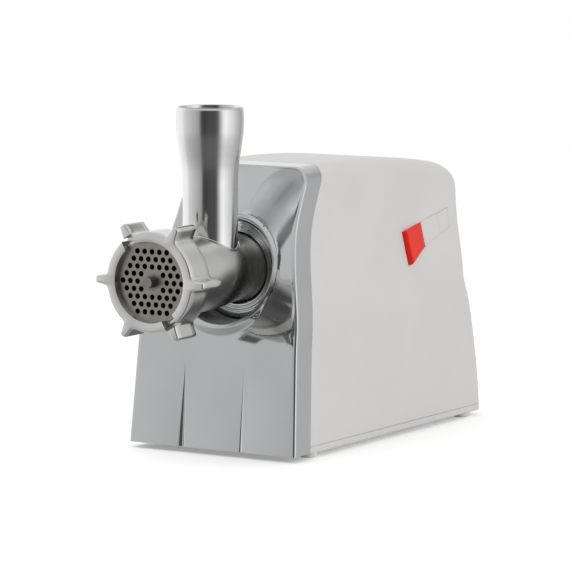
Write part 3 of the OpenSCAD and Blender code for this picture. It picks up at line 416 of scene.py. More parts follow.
def rounded(corners, steps=6):
    """Closed outline from (a, b, radius) corners, each replaced by an arc."""
    out = []
    count = len(corners)
    for k, (x, y, radius) in enumerate(corners):
        here = Vector((x, y))
        if radius <= 0:
            out.append((x, y))
            continue
        back = Vector(corners[k - 1][:2]) - here
        ahead = Vector(corners[(k + 1) % count][:2]) - here
        half = back.angle(ahead) / 2
        reach = min(radius / math.tan(half), back.length * 0.49, ahead.length * 0.49)
        start = here + back.normalized() * reach
        end = here + ahead.normalized() * reach
        middle = here + (back.normalized() + ahead.normalized()).normalized() * (reach / math.cos(half))
        radius = reach * math.tan(half)
        a0 = math.atan2(start.y - middle.y, start.x - middle.x)
        a1 = math.atan2(end.y - middle.y, end.x - middle.x)
        turn = (a1 - a0 + math.pi) % (2 * math.pi) - math.pi
        for i in range(steps + 1):
            a = a0 + turn * i / steps
            out.append((middle.x + radius * math.cos(a), middle.y + radius * math.sin(a)))
    return out


def smooth_line(points, steps=6):
    """Points of a smooth curve through the given ones."""
    out = []
    last = len(points) - 1
    for k in range(last):
        p = [points[max(k - 1, 0)], points[k], points[k + 1], points[min(k + 2, last)]]
        for i in range(steps):
            t = i / steps
            w = ((-t + 2 * t * t - t ** 3) / 2, (2 - 5 * t * t + 3 * t ** 3) / 2,
                 (t + 4 * t * t - 3 * t ** 3) / 2, (t ** 3 - t * t) / 2)
            out.append(tuple(sum(w[j] * p[j][c] for j in range(4)) for c in range(2)))
    out.append(tuple(points[last]))
    return out


def box_shape(low, high):
    """Closed box between two corners."""
    points = [(x, y, z) for x in (low[0], high[0]) for y in (low[1], high[1]) for z in (low[2], high[2])]
    return points, [(0, 1, 3, 2), (4, 6, 7, 5), (0, 4, 5, 1), (2, 3, 7, 6), (0, 2, 6, 4), (1, 5, 7, 3)]


def rod_shape(start, end, r, steps=48):
    """Closed cylinder between two places."""
    start, end = Vector(start), Vector(end)
    along = (end - start).normalized()
    side = along.orthogonal().normalized()
    other = along.cross(side)
    points, faces = loft([[tuple(base + side * (r * math.cos(a)) + other * (r * math.sin(a)))
                           for a in full_turn(steps)] for base in (start, end)], wrap_rows=False)
    faces += [tuple(range(steps)), tuple(range(2 * steps - 1, steps - 1, -1))]
    return points, faces


def prism_shape(outline, place, low, high):
    """Closed prism from an outline of (x, y), each end placed by place(x, y, z)."""
    count = len(outline)
    points, faces = loft([[place(x, y, z) for x, y in outline] for z in (low, high)], wrap_rows=False)
    return points, faces + [tuple(range(count)), tuple(range(2 * count - 1, count - 1, -1))]


# ---------- housing surface: h is the height above the underside of the base ----------
BODY_H = 210.2
BASE_T = 5
FOOT_HALF_W = round(cad_box[1].x / MM, 3)
SIDE_SLOPE = 0.042
PINCH, PINCH_FROM, PINCH_OVER = 12.4, 88, 87
FRONT_SLOPE, FRONT_BEND, FRONT_BEND_H = 0.09, 0.00185, 67
BACK_SLOPE, BACK_BEND = 0.24, 0.0011
CROWN_BEND, CROWN_Y = 0.0005, 110
STRIP = 22
TOP_R = 14
BACK_TOP_R = 24
CORNER_R = 10
WAIST_H = 106
TUCK = 16.2
SEAM = 0.15
SHELL_T = 2.6
MIDDLE_Y = 60
GLAND_X, GLAND_H, GLAND_R = -38, 34, 7.05
VENT_X, VENT_LOW, VENT_TOP = 35, 116, 156


def ease(t):
    """Smooth step from 0 to 1."""
    t = min(1.0, max(0.0, t))
    return t * t * (3 - 2 * t)


def half_w(h):
    """Half the width: pinched in above the middle."""
    return FOOT_HALF_W - SIDE_SLOPE * h - PINCH * ease((h - PINCH_FROM) / PINCH_OVER)


def front_at(h):
    """The front face leans back, and curves away towards the top."""
    return FOOT_Y + FRONT_SLOPE * h + FRONT_BEND * max(0.0, h - FRONT_BEND_H) ** 2


def back_at(h):
    """The back tucks in to the waist and comes out again above it."""
    if h < WAIST_H:
        return BACK_Y - TUCK * (h / WAIST_H) ** 2
    return BACK_Y - TUCK + BACK_SLOPE * (h - WAIST_H) - BACK_BEND * (h - WAIST_H) ** 2


TOP_BACK = back_at(BODY_H - 2 * BACK_TOP_R)


def crown_at(y):
    """Height of the softly sloping top."""
    return BODY_H - CROWN_BEND * (min(y, TOP_BACK) - FOOT_Y - CROWN_Y) ** 2


def sag(radius, depth):
    """How far a rounded edge of this radius has drawn in, at a depth below its crown."""
    if depth >= radius:
        return 0.0
    return radius - math.sqrt(max(0.0, radius ** 2 - (radius - depth) ** 2))


def shell_point(u, v, low):
    """Point of the wall: u is 0..1 along the right side, 1..2 round the corner, 2..3 to the rear middle."""
    y = FOOT_Y + 100.0
    x = h = 0.0
    # The height depends on y through the crown, and y on the height, so a few rounds settle both
    for _ in range(7):
        crown = crown_at(y)
        h = low + (crown - low) * v
        depth = crown - h
        w = half_w(h) - sag(TOP_R, depth)
        rear = back_at(h) - sag(BACK_TOP_R, depth)
        start = front_at(h) + STRIP + SEAM
        r = CORNER_R
        if u <= 1:
            x, y = w, start + (rear - r - start) * u
        elif u <= 2:
            a = (u - 1) * math.pi / 2
            x, y = w - r + r * math.cos(a), rear - r + r * math.sin(a)
        else:
            x, y = (w - r) * (3 - u), rear
    return x, y, h + BASE_Z


def around():
    """Steps along the shell's outline, from the right front round the back to the left front."""
    side_steps, corner_steps, rear_steps = 20, 8, 6
    half = [k / side_steps for k in range(side_steps)]
    half += [1 + k / corner_steps for k in range(corner_steps)]
    half += [2 + k / rear_steps for k in range(rear_steps + 1)]
    return [(u, 1) for u in half] + [(u, -1) for u in reversed(half[:-1])]


def shell_levels(low):
    """Steps up the wall, closer together where the top edge rounds over."""
    tall = BODY_H - low
    flat_steps, bend_steps = 26, 14
    flat_top = 1 - (BACK_TOP_R + 2) / tall
    flat = [k / flat_steps * flat_top for k in range(flat_steps + 1)]
    return flat + [1 - BACK_TOP_R / tall * (1 - math.sin(math.pi / 2 * k / bend_steps))
                   for k in range(1, bend_steps + 1)]


def close_top(points, faces, count):
    """Joins the two sides of the last row, station by station, from the front to the rear edge."""
    across = 14
    start = len(points) - count
    previous = None
    for k in range(count // 2 + 1):
        right, left = start + k, start + count - 1 - k
        a, b = points[right], points[left]
        line = [left]
        for j in range(1, across):
            line.append(len(points))
            points.append(tuple(b[c] + (a[c] - b[c]) * j / across for c in range(3)))
        line.append(right)
        if previous:
            faces += [(previous[j], previous[j + 1], line[j + 1], line[j]) for j in range(across)]
        previous = line


def build_shell():
    """Housing: one wall with a turned-in lip below, and openings for controls, cord gland and vents."""
    low = BASE_T + SEAM
    lip_in, lip_up = 0.4, 0.4
    path = around()
    lip = []
    for u, side in path:
        x, y, z = shell_point(u, 0, low)
        inward = (Vector((0, MIDDLE_Y, z)) - Vector((x, y, z))).normalized() * lip_in
        lip.append((side * x + side * inward.x, y + (inward.y if u > 1 else 0), z))
    rows = [lip]
    for k, v in enumerate(shell_levels(low)):
        row = []
        for u, side in path:
            x, y, z = shell_point(u, v, low)
            row.append((side * x, y, z + (lip_up if k == 0 else 0)))
        rows.append(row)
    points, faces = loft(rows, wrap_rows=False, wrap_columns=False)
    close_top(points, faces, len(path))
    piece = add_piece("housing", points, faces, "white_plastic", "housing", ["housing_shell"])
    give_wall(piece, SHELL_T)
    gland_z = BASE_Z + GLAND_H
    window_y = back_at((VENT_LOW + VENT_TOP) / 2)
    cut(piece,
        prism_shape(tray_outline(TRAY_FRONT, TRAY_BACK, 0), side_place, *TRAY_CUT),
        rod_shape((GLAND_X, BACK_Y - 30, gland_z), (GLAND_X, BACK_Y + 5, gland_z), GLAND_R),
        box_shape((-VENT_X, window_y - 14, BASE_Z + VENT_LOW), (VENT_X, window_y + 25, BASE_Z + VENT_TOP)))
    shade(piece, 28)


# Vents and screw recesses of the base, from the front foot of the housing
VENTS, VENTS_Y, VENT_STEP, VENT_W = 9, 126, 8, 3.5
SCREW_X, SCREW_YS, SCREW_DEEP, SCREW_R = 58, (56, 244), 2.6, 4.2


def build_base():
    """Base plate: the shell's outline with eased edges, vents and the recesses of the screws."""
    path = around()
    # How far each row is drawn in, and its height
    profile = ((1.0, 0), (0.3, 0.25), (0, 0.9), (0, 2.5), (0, BASE_T - 0.35), (0.35, BASE_T))
    rows = []
    for inset, h in profile:
        row = []
        for u, side in path:
            x, y, z = shell_point(u, 0, h)
            if u > 0.0:
                inward = (Vector((0, MIDDLE_Y)) - Vector((x, y))).normalized() * inset
                x, y = x + inward.x, y + (inward.y if u > 1 else 0)
            else:
                x -= inset
            row.append((side * x, y, z))
        rows.append(row)
    count = len(path)
    points, faces = loft(rows, wrap_rows=False)
    faces += [tuple(range(count)), tuple(range(len(points) - 1, len(points) - count - 1, -1))]
    piece = add_piece("base", points, faces, "white_plastic", "housing", ["base_plate"])
    cutters = []
    for k in range(VENTS):
        y = FOOT_Y + VENTS_Y + VENT_STEP * k
        cutters.append(box_shape((-30, y, BASE_Z - 3), (30, y + VENT_W, BASE_Z + 12)))
    for side in (-1, 1):
        for y in SCREW_YS:
            x = side * SCREW_X
            cutters.append(rod_shape((x, FOOT_Y + y, 0), (x, FOOT_Y + y, BASE_Z + SCREW_DEEP), SCREW_R))
    cut(piece, joined(*cutters))
    shade(piece, 30)


# ---------- chrome front panel ----------
EDGE_R = 2.0
GROOVE_X = 26
GROOVE_TOP = 69.0
GROOVE_FADE = 12
GROOVE_MARKS = (-1.6, -1, -0.8, -0.5, -0.2, 0, 0.2, 0.5, 0.8, 1, 1.6)
GROOVE_DEPTH = {-1: 2.0, 1: 0.45}
GROOVE_HALF_W = {-1: 2.3, 1: 1.1}
LEAST_SHARE = 0.12
PANEL_CROWN = 0.75
PANEL_ROW = 2.2
PANEL_T = 1.6
RIM_SUNK = 0.4


def groove_share(h):
    """1 at the bottom, falling to 0 where the grooves run out."""
    return ease((GROOVE_TOP - h) / (GROOVE_TOP + GROOVE_FADE)) ** 0.8 if h < GROOVE_TOP else 0.0


def groove_reach(h, side):
    """Half the width of a groove; the one towards the controls is a narrow crease."""
    return GROOVE_HALF_W[side] * max(groove_share(h), LEAST_SHARE)


def panel_columns(h, w):
    """Places across the panel at one height, packed closely about the two grooves."""
    outer_steps, middle_steps = 14, 20
    left, right = [[side * GROOVE_X + mark * groove_reach(h, side) for mark in GROOVE_MARKS]
                   for side in (-1, 1)]
    out = [-w + (left[0] + w) * k / outer_steps for k in range(outer_steps)] + left
    out += [left[-1] + (right[0] - left[-1]) * k / middle_steps for k in range(1, middle_steps)] + right
    return out + [right[-1] + (w - right[-1]) * k / outer_steps for k in range(1, outer_steps + 1)]


def panel_depth(x, h):
    """How far the surface lies behind the panel's curve: the grooves, and a slight crown between them."""
    share = groove_share(h)
    depth = 0.0
    for side in (-1, 1):
        off = abs(x - side * GROOVE_X) / groove_reach(h, side)
        if off < 1:
            depth += GROOVE_DEPTH[side] * share * (1 - max(off, 0.2)) ** 1.2
    w = half_w(h)
    middle, half = 0, GROOVE_X
    if abs(x) >= GROOVE_X:
        middle, half = math.copysign((GROOVE_X + w) / 2, x), (w - GROOVE_X) / 2
    return depth - PANEL_CROWN * share * max(0.0, 1 - ((x - middle) / half) ** 2)


def panel_rows():
    """Each row's height and half width, with the corners rounded, and the height of the top."""
    top = crown_at(front_at(BODY_H) + 4)
    flat = [PANEL_ROW * k for k in range(int((top - TOP_R) / PANEL_ROW) + 1)]
    flat = [h for h in flat if h < top - TOP_R - 0.8]
    bend = [top - TOP_R + TOP_R * math.sin(math.pi / 2 * k / 12) for k in range(1, 13)]
    return [(h, half_w(h) - sag(TOP_R, top - h)) for h in flat + bend], top


def panel_face(rows, top):
    """The face as a grid of points; it ends EDGE_R inside the outline, where the edge arc takes over."""
    grid = []
    for h, w in rows:
        t = max(0.0, (h - (top - TOP_R)) / TOP_R)
        face_h = h - EDGE_R * t if h > 0 else 0.5
        face_w = w - EDGE_R * math.sqrt(max(0.0, 1 - t ** 2))
        grid.append([(x, front_at(face_h) + panel_depth(x, h), face_h + BASE_Z)
                     for x in panel_columns(h, face_w)])
    return grid


def edge_line(start, outward, rise):
    """From the face's border round the edge arc and back along the strip; outward is (x, z)."""
    x, y, z = start
    nx, nz = outward
    line = []
    for k in range(1, 7):
        a = math.pi / 2 * k / 6
        line.append((x + nx * EDGE_R * math.sin(a), y + EDGE_R * (1 - math.cos(a)),
                     z + nz * EDGE_R * math.sin(a)))
    x, _, z = line[-1]
    for k in range(1, 9):
        y = front_at(z - BASE_Z) + EDGE_R + (STRIP - EDGE_R) * k / 8
        line.append((x, y, z + rise(y)))
    return line


def panel_edge(rows, top, grid):
    """The border's places in the grid, bottom right over the top to bottom left, and a line from each."""
    last = len(grid) - 1
    columns = len(grid[0])
    loop = [(i, columns - 1) for i in range(last)] + [(last, j) for j in range(columns - 1, -1, -1)]
    loop += [(i, 0) for i in range(last - 1, -1, -1)]
    lines = []
    for i, j in loop:
        t = max(0.0, (rows[i][0] - (top - TOP_R)) / TOP_R)
        outward = (0.0, 1.0)
        if i < last:
            outward = ((1 if j else -1) * math.sqrt(max(0.0, 1 - t * t)), t)
        lines.append(edge_line(grid[i][j], outward, lambda y, t=t: (crown_at(y) - top) * t))
    return loop, lines


def open_socket(points, faces, count):
    """The round opening: near points of the face go to its rim, and the faces inside are dropped."""
    inside = set()
    for k in range(count):
        r = bezel_radius(points[k])
        if r < HOLE_R - 1.0:
            inside.add(k)
        elif r < HOLE_R + 1.2:
            points[k] = onto_rim(points[k], HOLE_R, RIM_SUNK)
    faces = [face for face in faces if not any(k in inside for k in face)]
    used = sorted({k for face in faces for k in face})
    number = {k: n for n, k in enumerate(used)}
    return [points[k] for k in used], [tuple(number[k] for k in face) for face in faces]


def build_panel():
    """Front panel: the face, its rounded edge and the strip that runs back over the housing."""
    rows, top = panel_rows()
    grid = panel_face(rows, top)
    loop, lines = panel_edge(rows, top, grid)
    points, faces = loft(grid, wrap_rows=False, wrap_columns=False)
    face_count = len(points)
    edge = [i * len(grid[0]) + j for i, j in loop]
    deep = len(lines[0])
    points += [p for line in lines for p in line]
    for k in range(len(loop) - 1):
        a = face_count + k * deep
        b = a + deep
        faces.append((edge[k], edge[k + 1], b, a))
        faces += [(a + i, b + i, b + i + 1, a + i + 1) for i in range(deep - 1)]
    piece = add_piece("front_cover", *open_socket(points, faces, face_count), "chrome", "housing",
                      ["front_panel"])
    give_wall(piece, PANEL_T)
    shade(piece, 40)


# ---------- socket ----------
# The rim stands on a plane that leans back by BEZEL_TILT
BEZEL_TILT = math.radians(18)
BEZEL_Y = 19.8
BEZEL_UP = (math.sin(BEZEL_TILT), math.cos(BEZEL_TILT))
CREST_R = 41.9
CREST_TUBE_R = 1.5
BEZEL_IN_R = 40.4
BEZEL_OUT_R = 49.8
BEZEL_DEEP = 5.4
HOLE_R = 44.4
SIDE_FLARE = 3.3
SOCKET_DROP = 0.8
COLLAR_OUT_R = 35.3
COLLAR_CLEAR = 0.5
COLLAR_FRONT, COLLAR_BACK = 35.5, 46.0
CUP_FLOOR = 38.0
SOCKET_STEPS = 192
# Bayonet: the lugs' turns about the axis, how far the head twists to free them, and places along the axis
BAYONET_TURNS = (0, 120, 240)
HEAD_TWIST = 45
BAYONET_SLOT = (38, 50)
BAYONET_LUG = (41, 45)


def bezel_place(r, z, turn):
    """Point in the tilted frame of the socket's rim: z is along its axis, out of the panel."""
    up = r * math.sin(turn)
    return (r * math.cos(turn), FOOT_Y + BEZEL_Y + up * BEZEL_UP[0] - z * BEZEL_UP[1],
            AXIS_Z - SOCKET_DROP + up * BEZEL_UP[1] + z * BEZEL_UP[0])


def bezel_up(point):
    """How far up a point is in that tilted frame."""
    return (point[1] - FOOT_Y - BEZEL_Y) * BEZEL_UP[0] + (point[2] - AXIS_Z + SOCKET_DROP) * BEZEL_UP[1]


def bezel_radius(point):
    """How far a point is from the rim's axis."""
    return math.hypot(point[0], bezel_up(point))


def panel_z(r, turn):
    """Where the panel's surface lies along the rim's axis."""
    up = r * math.sin(turn)
    z = 0.0
    for _ in range(10):
        h = AXIS_Z - SOCKET_DROP - BASE_Z + up * BEZEL_UP[1] + z * BEZEL_UP[0]
        z = (FOOT_Y + BEZEL_Y + up * BEZEL_UP[0] - front_at(h)) / BEZEL_UP[1]
    return z


def onto_rim(point, radius, sunk):
    """The point moved over the panel's surface to a radius from the rim's axis, and sunk under the rim."""
    turn = math.atan2(bezel_up(point), point[0])
    return bezel_place(radius, panel_z(radius, turn) - sunk, turn)


def clear_collar(point, radius=COLLAR_OUT_R + COLLAR_CLEAR):
    """Keeps a point of the rim or cup outside the collar."""
    x, y, z = point
    r = math.hypot(x, z - AXIS_Z)
    if y > FOOT_Y + COLLAR_FRONT - 1 and r < radius:
        return x * radius / r, y, AXIS_Z + (z - AXIS_Z) * radius / r
    return point


def flare_width(turn):
    """How far the rim's outer curve reaches over the panel: wide below, narrow at the sides and above."""
    return SIDE_FLARE + (BEZEL_OUT_R - CREST_R - SIDE_FLARE) * ease((-math.sin(turn) - 0.25) / 0.6)


def build_bezel():
    """The rim: an inner wall, a rolled crest and a flare that runs out over the panel."""
    turns = full_turn(SOCKET_STEPS)
    rows = []
    for z in (-BEZEL_DEEP, -4.4, -3.4):
        rows.append([clear_collar(bezel_place(BEZEL_IN_R, z, t)) for t in turns])
    for k in range(9):
        a = math.pi - math.pi / 2 * k / 8
        r = CREST_R + CREST_TUBE_R * math.cos(a)
        z = -CREST_TUBE_R + CREST_TUBE_R * math.sin(a)
        rows.append([bezel_place(r, z, t) for t in turns])
    flare = 16
    for k in range(1, flare + 1):
        share = k / flare
        row = []
        for t in turns:
            r = CREST_R + flare_width(t) * share
            row.append(bezel_place(r, ease(share) * panel_z(r, t) + 0.04, t))
        rows.append(row)
    rows.append([bezel_place(CREST_R + 2, panel_z(CREST_R + 2, t) - 1.5, t) for t in turns])
    rows.append([clear_collar(bezel_place(BEZEL_IN_R + 2, -BEZEL_DEEP, t), COLLAR_OUT_R + 2) for t in turns])
    piece = add_piece("socket_rim", *loft(rows), "chrome", "housing", ["socket_bezel"])
    shade(piece, 50)


def build_cup():
    """The dished recess between the rim and the collar."""
    turns = full_turn(SOCKET_STEPS)
    rows = [[axis_place(CUP_FLOOR, r, t) for t in turns] for r in (35.4, 36.4, 37.4)]
    rows.append([axis_place(CUP_FLOOR - 0.8, 38.2, t) for t in turns])
    rows.append([clear_collar(bezel_place(BEZEL_IN_R + 0.1, -BEZEL_DEEP - 0.1, t), 36.0) for t in turns])
    rows.append([clear_collar(bezel_place(BEZEL_IN_R + 2.5, -BEZEL_DEEP - 0.1, t), 38.5) for t in turns])
    rows.append([axis_place(CUP_FLOOR + 2.5, 40.2, t) for t in turns])
    rows.append([axis_place(CUP_FLOOR + 2.5, 35.4, t) for t in turns])
    piece = add_piece("socket_well", *loft(rows), "cup_grey", "housing", ["socket_cup"])
    shade(piece, 40)


def build_collar():
    """The neck's collar: stepped in front, with a flange behind and entry slots for the bayonet."""
    front, back = COLLAR_FRONT, COLLAR_BACK
    steps = [(front, 27.5, 0.4), (front, 28.9, 0.4), (front + 0.7, 29.3, 0.3), (front + 0.7, 29.9, 0.3),
             (front, 30.3, 0.4), (front, 31.4, 0.4), (front + 1.1, 31.9, 0.3), (front + 1.1, 32.7, 0.3),
             (front, 33.2, 0.5), (front, COLLAR_OUT_R, 1.1)]
    flange = [(back - 3, COLLAR_OUT_R, 0.2), (back - 3, 39.8, 0.3), (back, 39.8, 0.2), (back, 30.1, 0.1),
              (40.5, 30.1, 0.1), (40.5, 27.5, 0.2)]
    piece = add_piece("collar", *revolve(rounded(steps + flange, 4), axis_place, SOCKET_STEPS), "chrome",
                      "housing", ["socket_collar"])
    slot = [(20, -6.6), (30, -6.6), (30, 6.6), (20, 6.6)]
    start, end = [FOOT_Y + y for y in BAYONET_SLOT]
    cut(piece, joined(*[prism_shape(slot, turned_place(turn + HEAD_TWIST), start, end)
                        for turn in BAYONET_TURNS]))
    shade(piece, 40)


# ---------- head ----------
# Places along the axis are counted from the front of the panel's foot. Outlines are (along, radius) points,
# and a third number rounds the corner.
BARREL_FRONT = -76.3
BARREL_R = 28.0
BARREL_IN_R = 25.2
BUSH_R = 11.02
THROAT_R = 18.8
TUBE_IN_R = 18.3
# The barrel from behind the ring nut to the flare that closes the socket
BARREL_WAIST = [(-30, BARREL_R), (-19, BARREL_R), (-9, 27.8), (0, 27.15), (9, 26.2), (17, 25.3), (24, 24.7),
                (29, 24.6), (33, 25.1), (36, 26.1), (38.2, 26.8)]
# The same barrel as a formula, where the tube stands on it
TAPER, TAPER_FROM, TAPER_POWER = 0.0085, -16, 1.62


def build_barrel():
    """Cast barrel, hollow from the plate's seat to its rear bush, open above for the feed tube."""
    ring_back = RING_BACK - FOOT_Y
    front = rounded([(BARREL_FRONT, 32.2, 0), (BARREL_FRONT, 33.6, 0.8), (ring_back + 0.8, 33.6, 0.8),
                     (ring_back + 7.5, BARREL_R, 3.5), (-30, BARREL_R, 0), (-30, 26, 0),
                     (-70, 26, 0)], 8)[:-3]
    waist = smooth_line(BARREL_WAIST, 6)
    outer = [(39.5, 26.8, 0.3), (39.5, 24.0, 0.2), (45.6, 24.0, 0.4)]
    inner = [(45.6, 17.5, 0.2), (26, 17.5, 0.2), (26, BUSH_R, 0), (17, BUSH_R, 0), (17, 19.5, 0.2),
             (-5, BARREL_IN_R, 0.3), (-64.5, BARREL_IN_R, 0.3), (-64.5, 31.2, 0.2),
             (BARREL_FRONT, 31.2, 0.3)]
    back = rounded([(30, 26.8, 0)] + outer + inner + [(BARREL_FRONT, 32.2, 0)], 6)[1:-1]
    piece = add_piece("barrel_body", *revolve(front + waist + back, axis_place, 160),
                      "cast_aluminium", "head", ["barrel"])
    cut(piece, rod_shape((0, TUBE_Y, AXIS_Z), (0, TUBE_Y, AXIS_Z + 60), THROAT_R, 64))
    shade(piece, 30)
    lug = [(23.5, -6), (28.9, -6), (29.5, 0), (28.9, 6), (23.5, 6)]
    start, end = [FOOT_Y + y for y in BAYONET_LUG]
    lugs = [prism_shape(lug, turned_place(turn), start, end) for turn in BAYONET_TURNS]
    shade(add_piece("bayonet_lugs", *joined(*lugs), "cast_aluminium", "head"), 30)


def build_tube():
    """Feed tube: straight below, opening smoothly to the mouth; its foot is hidden in the barrel."""
    outer = [(143, 20.4), (160, 20.4), (178, 20.35), (192, 20.35), (202, 20.5), (210, 21.0), (217, 21.9),
             (224, 23.0), (231, 24.1), (237, 24.85), (243, 25.15), (249, 25.15), (253.6, 24.85)]
    inner = [(252.2, 22.9), (247, 23.1), (241, 22.9), (234, 22.0), (226, 20.6), (218, 19.3), (210, 18.5),
             (200, TUBE_IN_R), (170, TUBE_IN_R), (162.5, TUBE_IN_R)]
    rim = [(254.8, 24.45), (255.4, 24.0), (255.6, 23.6), (255.3, 23.2), (254.4, 22.9)]
    foot = [(162.5, THROAT_R), (150, THROAT_R), (143, THROAT_R)]
    outline = smooth_line(outer, 6) + rim + smooth_line(inner, 5) + foot
    points, faces = revolve(outline, tube_place, 144)
    piece = add_piece("hopper_tube", points, faces, "polished_steel", "head", ["feed_tube"])
    bore = [(-90, 0.5), (-90, 27.9), (-19, 27.9), (-9, 27.7), (0, 27.05), (9, 26.1), (17, 25.2), (40, 24),
            (40, 0.5)]
    cut(piece, revolve(bore, axis_place, 128))
    shade(piece, 30)
    build_bead()


def build_bead():
    """Brazed bead where the tube meets the barrel."""
    bead_r, tube_r = 1.0, 20.9
    rows = []
    for a in full_turn(160):
        x, y = tube_r * math.cos(a), tube_r * math.sin(a)
        barrel_r = BARREL_R - TAPER * max(0.0, y - TAPER_FROM) ** TAPER_POWER
        z = math.sqrt(max(barrel_r ** 2 - x * x, 0.0))
        middle = Vector((x, TUBE_Y + y, AXIS_Z + z))
        lean = Vector((math.cos(a), math.sin(a), 0)) * bead_r
        up = Vector((x / barrel_r, 0, z / barrel_r)) * bead_r
        rows.append([tuple(middle + lean * math.cos(b) + up * math.sin(b)) for b in full_turn(12)])
    shade(add_piece("tube_bead", *loft(rows), "polished_steel", "head"), 60)


# The ring nut: six lugs to grip, a hole of OPENING_R in front of the plate, a bore of SEAT_R round it
RING_R = 36.8
LUG_H = 10.0
LUG_ROOT = 6.6
OPENING_R = 29.5
SEAT_R = 33.95
LIP_T = 4.4
NOTCH_TURNS = (120, 300)
NOTCH = [(25.5, -4.3), (37.6, -4.3), (37.6, 6.4), (25.5, 6.4)]
NOTCH_DEEP = 7


def ring_outline():
    """Outline of the nut, a circle with tapering lugs, as (across, up) points."""
    root = (math.sqrt(RING_R ** 2 - LUG_ROOT ** 2), LUG_ROOT)
    flank = smooth_line([root, (RING_R + 0.1, 5.1), (RING_R + 1.2, 4.2), (RING_R + 3.6, 3.5),
                         (RING_R + 6.6, 3.0), (RING_R + 8.7, 2.6), (RING_R + 9.7, 1.75),
                         (RING_R + LUG_H, 0.0)], 4)
    lug = [(u, -v) for u, v in flank] + [(u, v) for u, v in reversed(flank[:-1])]
    root_turn = math.asin(LUG_ROOT / RING_R)
    out = []
    for k in range(6):
        a = math.radians(60 * k)
        out += [(u * math.cos(a) - v * math.sin(a), u * math.sin(a) + v * math.cos(a)) for u, v in lug]
        span = math.radians(60) - 2 * root_turn
        for i in range(1, 10):
            b = a + root_turn + span * i / 10
            out.append((RING_R * math.cos(b), RING_R * math.sin(b)))
    return out


def outline_normals(outline):
    """Outward normal at each point of the outline."""
    normals = []
    for k in range(len(outline)):
        (x0, y0), (x1, y1) = outline[k - 1], outline[(k + 1) % len(outline)]
        size = math.hypot(x1 - x0, y1 - y0)
        normals.append(((y1 - y0) / size, (x0 - x1) / size))
    return normals


def build_ring():
    """Ring nut: eased edges outside, a lip in front of the plate, and two notches in its front face."""
    outline = ring_outline()
    normals = outline_normals(outline)
    turns = [math.atan2(z, x) for x, z in outline]
    front, back = RING_FRONT, RING_BACK
    lip = front + LIP_T
    outside = ((front, 1.1), (front + 0.12, 0.75), (front + 0.45, 0.3), (front + 1.0, 0.0), (front + 6, 0),
               (back - 6, 0), (back - 1.0, 0.0), (back - 0.45, 0.3), (back - 0.1, 0.7), (back, 1.0))
    bore = ((back, SEAT_R + 0.35), (back - 0.35, SEAT_R), (lip + 0.3, SEAT_R), (lip, SEAT_R - 0.35),
            (lip, OPENING_R), (front + 0.5, OPENING_R), (front + 0.15, OPENING_R + 0.15),
            (front, OPENING_R + 0.5))
    rows = [[(x - nx * inset, y, AXIS_Z + z - nz * inset) for (x, z), (nx, nz) in zip(outline, normals)]
            for y, inset in outside]
    rows += [[(r * math.cos(a), y, AXIS_Z + r * math.sin(a)) for a in turns] for y, r in bore]
    piece = add_piece("clamp_ring", *loft(rows), "cast_aluminium", "ring", ["ring_nut"])
    cut(piece, joined(*[prism_shape(NOTCH, turned_place(turn), front - 1, front + NOTCH_DEEP)
                        for turn in NOTCH_TURNS]))
    shade(piece, 34)


# ---------- controls ----------
# One recess in the right side holds the rocker and two buttons; its frame leans with the wall there
TRAY_TILT = math.radians(12.6)
TRAY_H = 142
TRAY_Y = 221.5
TRAY_FRONT, TRAY_BACK = -38, 38
TRAY_BEND = -3.5
TRAY_UPPER, UPPER_SLOPE = 15.4, 0.168
TRAY_LOWER, LOWER_SLOPE_FRONT, LOWER_SLOPE_BACK = -5, 0.40, 0.275
TRAY_CUT = (-9, 12)
POWER_REAR, REVERSE_REAR = -6.2, 21
POWER_STEM, REVERSE_STEM, RESET_STEM = (-2.5, -22), (-7, 7.4), (-12.2, 29.5)
PIVOT = (0.4, -22.1, -2.6)
PIVOT_HALF, PIVOT_R = 11.7, 1.2
TRAY_X = half_w(TRAY_H) + 0.3


def side_place(x, y, z):
    """From the controls' frame: x down the side, y to the back, z out of it."""
    return (TRAY_X + x * math.sin(TRAY_TILT) + z * math.cos(TRAY_TILT), FOOT_Y + TRAY_Y + y,
            BASE_Z + TRAY_H - x * math.cos(TRAY_TILT) + z * math.sin(TRAY_TILT))


def flush(x):
    """Height of the housing's surface in the controls' frame."""
    z = 0.0
    for _ in range(8):
        px, _, pz = side_place(x, 0, z)
        z += (half_w(pz - BASE_Z) - px) / math.cos(TRAY_TILT)
    return z


def tray_upper(y):
    """Height of the recess's upper edge over the tray's middle."""
    return TRAY_UPPER + UPPER_SLOPE * y


def tray_lower(y):
    """Height of its lower edge, which rises towards the back in two straight parts."""
    slope = LOWER_SLOPE_FRONT if y < TRAY_BEND else LOWER_SLOPE_BACK
    return TRAY_LOWER + slope * (y - TRAY_BEND)


def tray_outline(y0, y1, inset):
    """The recess between two places along it, as (down, back) points."""
    out = [(-tray_upper(y0) + inset, y0 + inset), (-tray_lower(y0) - inset, y0 + inset)]
    if y0 < TRAY_BEND < y1:
        out.append((-tray_lower(TRAY_BEND) - inset, TRAY_BEND))
    return out + [(-tray_lower(y1) - inset, y1 - inset), (-tray_upper(y1) + inset, y1 - inset)]


